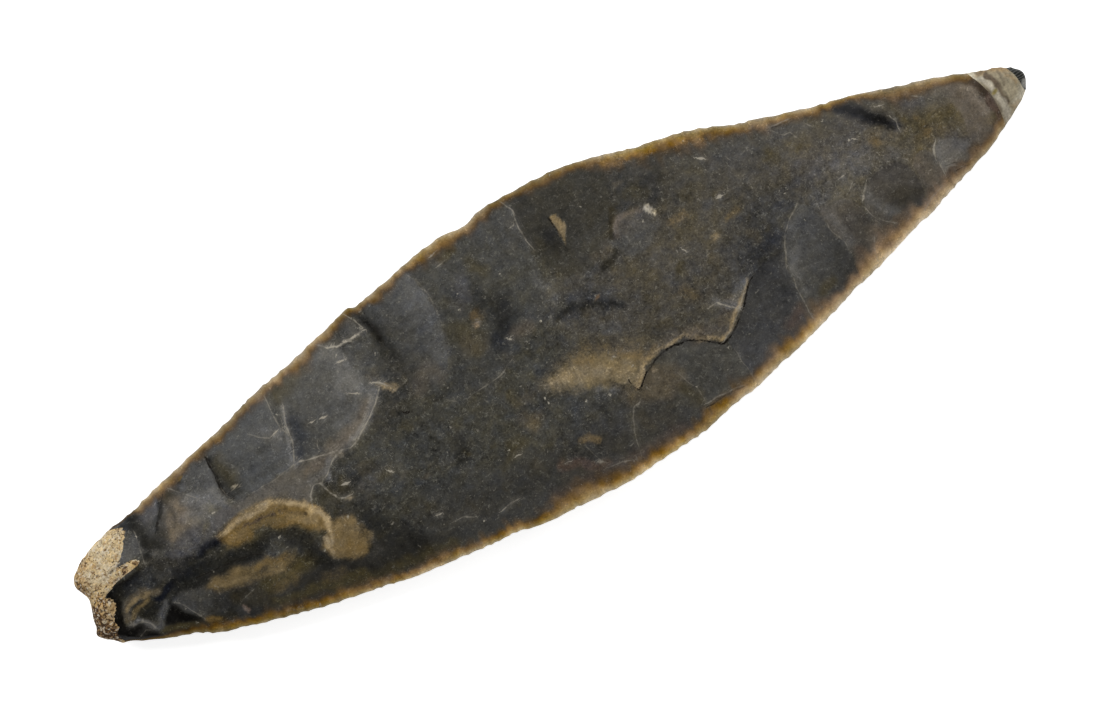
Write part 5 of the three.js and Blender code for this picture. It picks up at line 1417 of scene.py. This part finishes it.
def flecks(tree, place, per_mm, chosen, size):
    """Small round spots: one in each cell of a net of cells, where the cell's random number is above
    chosen, and larger the more it is above. 1 in the spot and 0 outside it."""
    cell = join(tree, "TexVoronoi", {"Vector": place, "Scale": per_mm / mm, "Randomness": 1.0})
    number = join(tree, "SeparateColor", {"Color": cell.outputs["Color"]}).outputs[0]
    radius = times(tree, sums(tree, "SUBTRACT", number, chosen), size / (1 - chosen))
    inward = sums(tree, "SUBTRACT", radius, cell.outputs["Distance"])
    return ramp(tree, inward, -0.02, 0.05)


def new_material(name):
    """A fresh material with one Principled shader, and the place on the piece that its patterns read."""
    material = bpy.data.materials.new(name)
    material.use_nodes = True
    tree = material.node_tree
    tree.nodes.clear()
    shader = join(tree, "BsdfPrincipled")
    tree.links.new(shader.outputs[0], join(tree, "OutputMaterial").inputs["Surface"])
    return material, tree, shader, join(tree, "TexCoord").outputs["Object"]


def attribute(tree, name):
    """The numbers on the points under that name, as colour, as one number and as alpha."""
    return join(tree, "Attribute", attribute_name=name, attribute_type="GEOMETRY").outputs


def set_surface(tree, shader, colour, rough, gloss, height, bump_share, bump_depth):
    """Gives the shader its colour, roughness and gloss, and a share of a bump that deep in millimetres."""
    bump = join(tree, "Bump", {"Strength": bump_share, "Distance": bump_depth * mm, "Height": height})
    fill(tree, shader, {"Base Color": colour, "Roughness": rough, "Specular IOR Level": gloss,
                        "Normal": bump.outputs[0]})


# Spots in the stone: how many cells to a millimetre, the share of cells that have none, the size of a spot,
# how strong it is, and its colour; four kinds of white fossils and one of dark specks
stone_spots = (
    (1.7, 0.66, 0.26, 0.6, (0.22, 0.205, 0.17, 1)), (0.95, 0.68, 0.22, 0.6, (0.25, 0.23, 0.19, 1)),
    (0.45, 0.78, 0.15, 0.9, (0.4, 0.365, 0.295, 1)), (0.24, 0.84, 0.1, 1, (0.46, 0.42, 0.33, 1)),
    (1.2, 0.5, 0.25, 0.35, (0.013, 0.012, 0.01, 1)),
)
stroke_colour = (0.20, 0.185, 0.155, 1)
line_colours = (("seam_and_shadow_line", (0.010, 0.008, 0.006, 1)), ("ridge_wear_and_highlight_line", (0.32, 0.29, 0.235, 1)))
warm_tint = (0.48, 0.23, -0.50)
glint_tint = (0.95, 1.0, 0.85)
chert_ior = 1.54


def chert_material():
    """The stone's colour from its points, times one plus three sizes of mottling, glints and a drift from
    warm to cool, all weaker on smooth scar floors. Pale stone lies over it by its cover, to which noise is
    added where it is near a half. Then thin strokes where a noise crosses its middle, white fossil flecks and
    dark specks, and, where their ratio is below one, the pale ridge lines, from wear and painted highlight,
    and the dark lines, from cracks and painted shadow."""
    material, tree, shader, place = new_material("waxy grey chert")
    stone, pale = attribute(tree, "stone"), attribute(tree, "veil")
    clouds, mottle = grain(tree, place, 0.13, 5, 0.6), grain(tree, place, 0.6, 5, 0.6)
    fine = grain(tree, place, 2.5, 3, 0.6)
    around = shaken(tree, place, 1.3, 1.5)

    partly = times(tree, pale["Alpha"], sums(tree, "SUBTRACT", 1.0, pale["Alpha"]))
    patchy = sums(tree, "MULTIPLY_ADD", fine, 2.0, sums(tree, "MULTIPLY_ADD", mottle, 4.0, -3.0))
    cover = sums(tree, "MULTIPLY_ADD", partly, patchy, pale["Alpha"])
    cover = sums(tree, "MINIMUM", sums(tree, "MAXIMUM", cover, 0.0), 1.0)
    colour = blend(tree, cover, stone["Color"], pale["Color"])

    rugged = sums(tree, "MULTIPLY_ADD", attribute(tree, "smooth_floor")["Fac"], -0.4, 1.0)
    rugged = sums(tree, "MULTIPLY_ADD", cover, -0.3, rugged)
    rugged = sums(tree, "MULTIPLY_ADD", attribute(tree, "glow")["Fac"], -0.15, rugged)
    calm = sums(tree, "MULTIPLY_ADD", attribute(tree, "smooth_floor")["Fac"], -0.3, rugged)
    glint = grain(tree, around, 2.1, 4, 0.65)
    broken = grain(tree, place, 0.9, 2, 0.5)
    change = plus(tree, swing(tree, mottle, 1.7), swing(tree, fine, 1.8))
    bright = times(tree, ramp(tree, glint, 0.54, 0.66), ramp(tree, broken, 0.40, 0.62, 0.15, 1.0))
    change = plus(tree, bright, change)
    strength = plus(tree, plus(tree, clouds, 0.5), times(tree, change, rugged))
    colour = scaled(tree, colour, strength)
    warmth = plus(tree, swing(tree, grain(tree, place, 0.42, 5, 0.6), 1.1),
                  swing(tree, grain(tree, place, 0.10, 4, 0.6), 0.8))
    tint = scaled(tree, warm_tint, times(tree, warmth, calm))
    colour = vectors(tree, "MULTIPLY", colour, vectors(tree, "ADD", tint, (1.0, 1.0, 1.0)))
    lit = ramp(tree, join(tree, "SeparateColor", {"Color": stone["Color"]}).outputs[0], 0.008, 0.05, 0.4, 1.0)
    lit = times(tree, lit, rugged)
    bright = times(tree, times(tree, bright, lit), 0.03)
    colour = vectors(tree, "ADD", colour, scaled(tree, glint_tint, bright))

    curl = sums(tree, "ABSOLUTE", sums(tree, "SUBTRACT", grain(tree, around, 0.75, 1.5, 0.5), 0.5))
    stroke = times(tree, ramp(tree, curl, 0.004, 0.022, 0.45, 0.0), ramp(tree, broken, 0.53, 0.63))
    colour = blend(tree, times(tree, stroke, lit), colour, stroke_colour)
    for per_mm, chosen, size, share, fleck in stone_spots:
        spots = times(tree, flecks(tree, around, per_mm, chosen, size), share)
        spots = times(tree, spots, ramp(tree, fine, 0.36, 0.56, 0.35, 1.0))
        colour = blend(tree, times(tree, spots, lit), colour, fleck)
    # The dark lines' share, cracks and painted shadow alike, also raises the roughness and sinks the bump
    crack_and_shadow = 0.0
    for line, line_colour in line_colours:
        ratio = sums(tree, "ABSOLUTE", attribute(tree, line)["Fac"])
        ratio = times(tree, ratio, ramp(tree, broken, 0.35, 0.62, 1.9, 0.9))
        ratio = plus(tree, ratio, swing(tree, fine, 1.8))
        share = times(tree, ramp(tree, ratio, 0.1, 1.1, 0.8, 0.0), attribute(tree, line + "_share")["Fac"])
        share = times(tree, share, ramp(tree, mottle, 0.38, 0.60, 0.25, 1.1))
        colour = blend(tree, share, colour, line_colour)
        if line == "seam_and_shadow_line":
            crack_and_shadow = share
    rough = plus(tree, stone["Alpha"], swing(tree, mottle, 0.3))
    rough = sums(tree, "MAXIMUM", rough, times(tree, cover, 0.58))
    rough = plus(tree, rough, times(tree, crack_and_shadow, 0.3))
    height = plus(tree, times(tree, fine, 0.5), times(tree, mottle, 0.6))
    height = sums(tree, "SUBTRACT", height, times(tree, crack_and_shadow, 0.8))
    set_surface(tree, shader, colour, rough, gloss=0.06, height=height, bump_share=0.5, bump_depth=0.08)
    shader.inputs["IOR"].default_value = chert_ior
    return material


body_piece.data.materials.append(chert_material())
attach(body_piece, "root")
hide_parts("chert_body")

# Chalky butt
#
# The rind of the nodule, left on at the thick end where the blade was held: soft, chalky, cream stone with
# coarse brown grains and small pits. The flaking never reached it, so it keeps its rough skin.
rind_grain = 0.16
rind_fade = 0.6
rind_lumps = ((1, 1.9, 91), (0.8, 0.85, 92), (0.5, 0.45, 93))


def roughen_rind(upper, lower):
    """Lumps of three sizes lift or sink the rind along the height; they fade out towards the grey stone and
    the outer edge by the smooth step, so both stay joined."""
    for net, sign in ((upper, 1), (lower, -1)):
        x, y = net[..., 0].ravel(), net[..., 1].ravel()
        here = station(x, y)
        to_chert = rind_edge(here["across"]) - x
        fade = smooth_step(0, rind_fade, to_chert) * smooth_step(0, 1.0, here["from_edge"])
        fade = fade * smooth_step(0, 0.8, here["from_butt"])
        flat = smooth_step(0, 0.5, net[..., 2].ravel())
        net[..., 2] += (sign * rind_grain * layered(x, y, rind_lumps) * fade * flat).reshape(net.shape[:2])


def colour_points(piece, places, ground, patches):
    """A piece's colours: the ground colour at each point, with the patches laid over it."""
    tone = np.tile(np.array(ground), (len(places), 1))
    lay_patches(tone, patches, places[:, 0], places[:, 1])
    give_colours(piece.data, "stone", tone)


rind_piece, rind_places, _ = stone_shell(
    "cortex_rind", (butt_end, rind_edge), columns=60, rows=128, under_rows=128, open_end=0,
    relief=roughen_rind, snap=False)

# Colours in the rind: red, green, blue, and how thick the brown grains lie
rind_cream = (0.45, 0.325, 0.162, 0.36)
rind_white = (0.54, 0.425, 0.255, 0.0)
rind_ochre = (0.40, 0.265, 0.12, 0.45)
rind_brown = (0.34, 0.215, 0.098, 1.05)
rind_grey = (0.26, 0.235, 0.19, 0.1)
rind_patches = [
    (rind_white, 0.9, 2.8, 0.8, [(-97, 9), (-94, 10), (-94.6, 7.4), (-98, 4.6)]),
    (rind_white, 0.8, 0.8, 0.7, [(-95, 4), (-92, 4.1)]),
    (rind_ochre, 0.7, 1.3, 0.8, [(-103, 5), (-101.8, 8), (-99.4, 10)]),
    (rind_ochre, 0.9, 1.2, 0.8, [(-101, 0.8), (-100.4, -1.4), (-101, -4), (-101.4, -6)]),
    (rind_brown, 0.95, 1.5, 0.5, [(-103.6, -0.6), (-103.2, -2.6), (-103.2, -4.6), (-102.2, -6)]),
    (rind_brown, 0.7, 0.5, 0.7, [(-103.4, 5), (-103.5, 5.8)]),
    (rind_grey, 0.8, 0.3, 0.8, [(-96.4, 5), (-95, 5.1), (-94, 5.2)]),
    (rind_grey, 0.9, 0.32, 0.5, [(-96.2, 3.1), (-95.7, 3.2)]),
    (rind_brown, 0.9, 0.3, 0.6, [(-94.2, 3.4), (-93.4, 4.1)]),
    (rind_white, 1, 0.42, 0.5, [(-102.5, -2.9), (-102.1, -2.9)]),
    (rind_white, 0.9, 0.25, 0.5, [(-103.7, -6.4), (-103.5, -6.5)]),
]
colour_points(rind_piece, rind_places, rind_cream, rind_patches)

# Brown grains: how many lumps to a millimetre, how soft their rim is, how strong they are, and their colour
rind_grains = (
    (0.75, 0.07, 0.6, (0.31, 0.175, 0.062, 1)), (1.15, 0.06, 0.85, (0.16, 0.09, 0.038, 1)),
    (2, 0.05, 0.95, (0.045, 0.024, 0.012, 1)),
)
light_grain = (0.62, 0.55, 0.43, 1)
pit_colour = (0.14, 0.085, 0.040, 1)
rind_tint = (0.25, 0.0, -0.6)


def rind_material():
    """Chalk: its colour from the points times two sizes of mottling and a drift to warm and back. Over it lie
    brown grains, where a noise is above a limit that is lower where the points ask for thick grains, then
    lighter grains and dark pits. The bump comes from the mottling and the pits."""
    material, tree, shader, place = new_material("chalky rind")
    stone = attribute(tree, "stone")
    mottle, fine = grain(tree, place, 0.6, 5, 0.6), grain(tree, place, 2.6, 4, 0.6)
    strength = plus(tree, swing(tree, mottle, 1.3), times(tree, fine, 2.0))
    colour = scaled(tree, stone["Color"], strength)
    warmth = swing(tree, grain(tree, place, 0.5, 4), 1.8)
    colour = vectors(tree, "MULTIPLY_ADD", colour, scaled(tree, rind_tint, warmth), colour)
    thick = sums(tree, "MULTIPLY_ADD", stone["Alpha"], 0.19, -0.62)
    for per_mm, width, share, brown in rind_grains:
        above = plus(tree, grain(tree, place, per_mm, 3, 0.5), thick)
        colour = blend(tree, ramp(tree, above, 0.0, width, 0.0, share), colour, brown)
    white = ramp(tree, grain(tree, place, 1.7, 2, 0.5), 0.56, 0.66, 0.0, 0.75)
    colour = blend(tree, white, colour, light_grain)
    pits = flecks(tree, shaken(tree, place, 1.3, 1.2), 1.1, 0.62, 0.3)
    colour = blend(tree, times(tree, pits, 0.7), colour, pit_colour)
    height = plus(tree, times(tree, fine, 0.5), mottle)
    height = sums(tree, "SUBTRACT", height, times(tree, pits, 0.8))
    set_surface(tree, shader, colour, rough=0.92, gloss=0.2, height=height, bump_share=0.8, bump_depth=0.25)
    return material


rind_piece.data.materials.append(rind_material())
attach(rind_piece, "root")
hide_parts("cortex_butt")

# Pale tip
#
# Near the point the blade runs out into paler, banded chert: half clear and frosted, with thin curved bands
# of white, grey brown and olive that follow the skin of the nodule.
tip_piece, tip_places, _ = stone_shell(
    "pale_banded_tip", (pale_line, fleck_line), columns=40, rows=128, under_rows=128, open_end=None,
    snap=False)

# Colours in the tip: red, green, blue and roughness
tip_ground = (0.27, 0.228, 0.150, 0.55)
tip_white = (0.57, 0.52, 0.40, 0.58)
tip_band = (0.375, 0.335, 0.26, 0.58)
tip_pale = (0.325, 0.28, 0.19, 0.55)
tip_brown = (0.100, 0.072, 0.046, 0.55)
tip_olive = (0.20, 0.155, 0.035, 0.55)
tip_orange = (0.30, 0.195, 0.085, 0.55)
tip_patches = [
    (tip_white, 0.9, 0.6, 0.5, [(95.6, 5.6), (96.4, 4.4), (97, 3.2)]),
    (tip_band, 0.9, 0.65, 0.5, [(97, 3.2), (97.8, 1.4), (98.2, -1), (98.1, -3.2), (97.9, -6)]),
    (tip_orange, 0.6, 0.5, 0.8, [(96.8, 4.6), (98.4, 4)]),
    (tip_brown, 0.95, 0.45, 0.5, [(98, 3.5), (98.6, 2.7), (99.2, 1.2), (99.6, 0), (99.5, -1.8),
        (99.1, -3.4)]),
    (tip_white, 0.5, 0.4, 0.7, [(97.9, 1.6), (98.2, 0.4)]),
    (tip_band, 0.8, 0.5, 0.7, [(98.7, -1), (98.6, -2.6), (98.3, -4.6)]),
    (tip_brown, 0.6, 0.4, 0.7, [(97.1, 0.4), (97.3, -1.2), (97.2, -2.6), (97, -4)]),
    (tip_brown, 0.5, 0.3, 0.8, [(96.6, 5.2), (97.2, 4.4), (98, 4.6)]),
    (tip_brown, 0.35, 0.4, 0.8, [(100.3, 1.4), (100.2, 0)]),
    (tip_olive, 0.85, 0.42, 0.6, [(98, -0.4), (98.5, -0.1)]),
    (tip_pale, 0.8, 1.2, 0.8, [(101.2, 1.6), (101.4, 0.4), (101, -2.6)]),
    (tip_white, 0.7, 0.7, 0.8, [(100.6, -4.2), (102.2, -3.2), (103.2, -2.6)]),
    (tip_orange, 0.75, 0.7, 0.8, [(99.8, 3.9), (101.2, 3.4), (102.6, 2.6)]),
    (tip_orange, 0.45, 0.35, 0.8, [(101.4, 1.8), (102.4, 0.6), (102.4, -1)]),
    (tip_brown, 0.35, 0.3, 0.8, [(100.4, 2.6), (100.8, 1.2), (100.6, 0)]),
    (tip_orange, 0.4, 0.5, 0.8, [(99.8, -4.7), (101.6, -3.9)]),
]
colour_points(tip_piece, tip_places, tip_ground, tip_patches)
tip_bands_per_mm = 0.34


def banded_material():
    """Pale chert: its colour from the points times two sizes of mottling, and faint bands, a wave pattern
    that runs along the blade and is bent by noise."""
    material, tree, shader, place = new_material("pale banded chert")
    stone = attribute(tree, "stone")
    mottle, fine = grain(tree, place, 0.5, 5), grain(tree, place, 2.2, 3)
    bands = join(tree, "TexWave", {"Vector": place, "Scale": tip_bands_per_mm / mm, "Distortion": 3.5,
                                   "Detail": 2.0, "Detail Scale": 1.2},
                 wave_type="BANDS", bands_direction="X")
    strength = plus(tree, sums(tree, "MULTIPLY_ADD", mottle, 0.9, 0.55), swing(tree, fine, 1.2))
    strength = plus(tree, strength, swing(tree, bands.outputs["Fac"], 0.16))
    colour = scaled(tree, stone["Color"], strength)
    rough = plus(tree, stone["Alpha"], swing(tree, mottle, 0.3))
    set_surface(tree, shader, colour, rough, gloss=0.2, height=fine, bump_share=0.5, bump_depth=0.1)
    shader.inputs["IOR"].default_value = chert_ior
    return material


tip_piece.data.materials.append(banded_material())
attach(tip_piece, "root")
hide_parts("pale_tip")

# Black fleck
#
# The very point is a small fleck of glassy black chert with fine ripples across it, and a whitish foot at its
# lower corner.
fleck_piece, fleck_places, _ = stone_shell(
    "black_tip_fleck", (fleck_line, tip_end), columns=16, rows=128, under_rows=128, open_end=-1, snap=False)

# Colours in the fleck: red, green, blue and roughness
fleck_black = (0.014, 0.015, 0.012, 0.42)
fleck_foot = (0.31, 0.30, 0.27, 0.50)
fleck_patches = [
    (fleck_foot, 0.9, 0.5, 0.6, [(104.5, -1.5), (103.9, -2.1)]),
]
colour_points(fleck_piece, fleck_places, fleck_black, fleck_patches)
fleck_ripples_per_mm = 0.62
fleck_ripple_colour = (0.17, 0.17, 0.155, 1)


def fleck_material():
    """Black glassy chert: its colour from the points, streaked with light ripples, a wave pattern across the
    blade bent by noise, which also gives the bump."""
    material, tree, shader, place = new_material("black glassy chert")
    stone = attribute(tree, "stone")
    ripples = join(tree, "TexWave", {"Vector": place, "Scale": fleck_ripples_per_mm / mm, "Distortion": 2.5,
                                     "Detail": 2.0}, wave_type="BANDS", bands_direction="Y").outputs["Fac"]
    fine = grain(tree, place, 2.2, 3)
    colour = scaled(tree, stone["Color"], sums(tree, "MULTIPLY_ADD", fine, 0.9, 0.45))
    colour = blend(tree, ramp(tree, ripples, 0.80, 0.99, 0.0, 0.6), colour, fleck_ripple_colour)
    rough = plus(tree, stone["Alpha"], swing(tree, fine, 0.2))
    set_surface(tree, shader, colour, rough, gloss=0.1, height=ripples, bump_share=0.3, bump_depth=0.1)
    shader.inputs["IOR"].default_value = chert_ior
    return material


fleck_piece.data.materials.append(fleck_material())
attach(fleck_piece, "root")
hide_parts("tip_dark_fleck")

# Floor
#
# The plain white ground that the blade lies on, far wider than the picture. Lit, it is almost white; to the
# camera it gets a little white of its own on top, so that only the blade's soft shadow shows.
floor_half = 3.0
floor_glow = 0.7
floor_gap = 0.02
floor_mesh = bpy.data.meshes.new("white ground")
floor_low = cad_box[0][2] - floor_gap * mm
floor_mesh.from_pydata([(sx * floor_half, sy * floor_half, floor_low) for sx, sy in
                        ((-1, -1), (1, -1), (1, 1), (-1, 1))], [], [(0, 1, 2, 3)])
floor = bpy.data.objects.new("white_ground", floor_mesh)
bpy.context.scene.collection.objects.link(floor)


def ground_material():
    """A matt white with a faint grain. Rays from the camera, and those that gloss or glass throws on, also
    get a share of plain white light from it."""
    material, tree, shader, place = new_material("white ground")
    tint = ramp(tree, grain(tree, place, 0.02, 3), 0.3, 0.7, 0.83, 0.86)
    white = join(tree, "CombineColor", {0: tint, 1: tint, 2: tint}).outputs[0]
    tree.links.new(white, shader.inputs["Base Color"])
    shader.inputs["Roughness"].default_value = 0.95
    shader.inputs["Specular IOR Level"].default_value = 0.0
    ray = join(tree, "LightPath").outputs
    seen = plus(tree, plus(tree, ray["Is Camera Ray"], ray["Is Glossy Ray"]), ray["Is Transmission Ray"])
    seen = sums(tree, "MINIMUM", seen, 1.0)
    shader.inputs["Emission Color"].default_value = (1, 1, 1, 1)
    tree.links.new(times(tree, seen, floor_glow), shader.inputs["Emission Strength"])
    return material


floor_mesh.materials.append(ground_material())
floor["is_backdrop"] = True

# Light
#
# Soft studio light, low all round the blade, so that its flat scars reflect the dark room above and its
# ridges catch the light: the main lamp at the picture's upper left, a weaker one at each other side.
picture_turn = math.radians(-30)
lamp_distance = 0.9

# Each lamp: its name, where it stands round the picture and how high, in degrees, its width and its power
lamps = [("main lamp", 158, 34, 0.45, 5.4), ("low lamp", -60, 30, 0.5, 2.7),
         ("side lamp", 30, 30, 0.5, 2.0), ("upper lamp", 95, 32, 0.5, 2.4)]
for name, turn, lift, size, power in lamps:
    light = bpy.data.lights.new(name, "AREA")
    light.shape, light.size, light.energy = "DISK", size, power
    lamp = bpy.data.objects.new(name, light)
    az, el = math.radians(turn) + picture_turn, math.radians(lift)
    lamp.location = (lamp_distance * math.cos(el) * math.cos(az), lamp_distance * math.cos(el) * math.sin(az),
                     lamp_distance * math.sin(el))
    lamp.rotation_euler = (math.pi / 2 - el, 0, az + math.pi / 2)
    bpy.context.scene.collection.objects.link(lamp)

room_light = 0.12
world = bpy.data.worlds.new("dim room")
world.use_nodes = True
background = next(n for n in world.node_tree.nodes if n.type == "BACKGROUND")
background.inputs["Color"].default_value = (1, 1, 1, 1)
background.inputs["Strength"].default_value = room_light
bpy.context.scene.world = world

# Camera
#
# It looks straight down, turned so that the blade rises to the right by 30 degrees, as in the photograph.
frame_width = 213.16 * mm
picture_middle = (-1.676, -1.0)
camera_lens, sensor_width = 300, 36
camera_data = bpy.data.cameras.new("camera")
camera_data.lens, camera_data.sensor_width = camera_lens, sensor_width
camera_data.clip_start, camera_data.clip_end = 0.01, 20
camera = bpy.data.objects.new("camera", camera_data)
camera_height = frame_width * camera_lens / sensor_width + edge_height * mm
camera.location = (picture_middle[0] * mm, picture_middle[1] * mm, camera_height)
camera.rotation_euler = (0, 0, picture_turn)
bpy.context.scene.collection.objects.link(camera)
bpy.context.scene.camera = camera

bpy.context.scene.view_settings.view_transform = "Standard"

sizes = {"cad": [list(corner) for corner in cad_box], "visual": [list(corner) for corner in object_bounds()]}
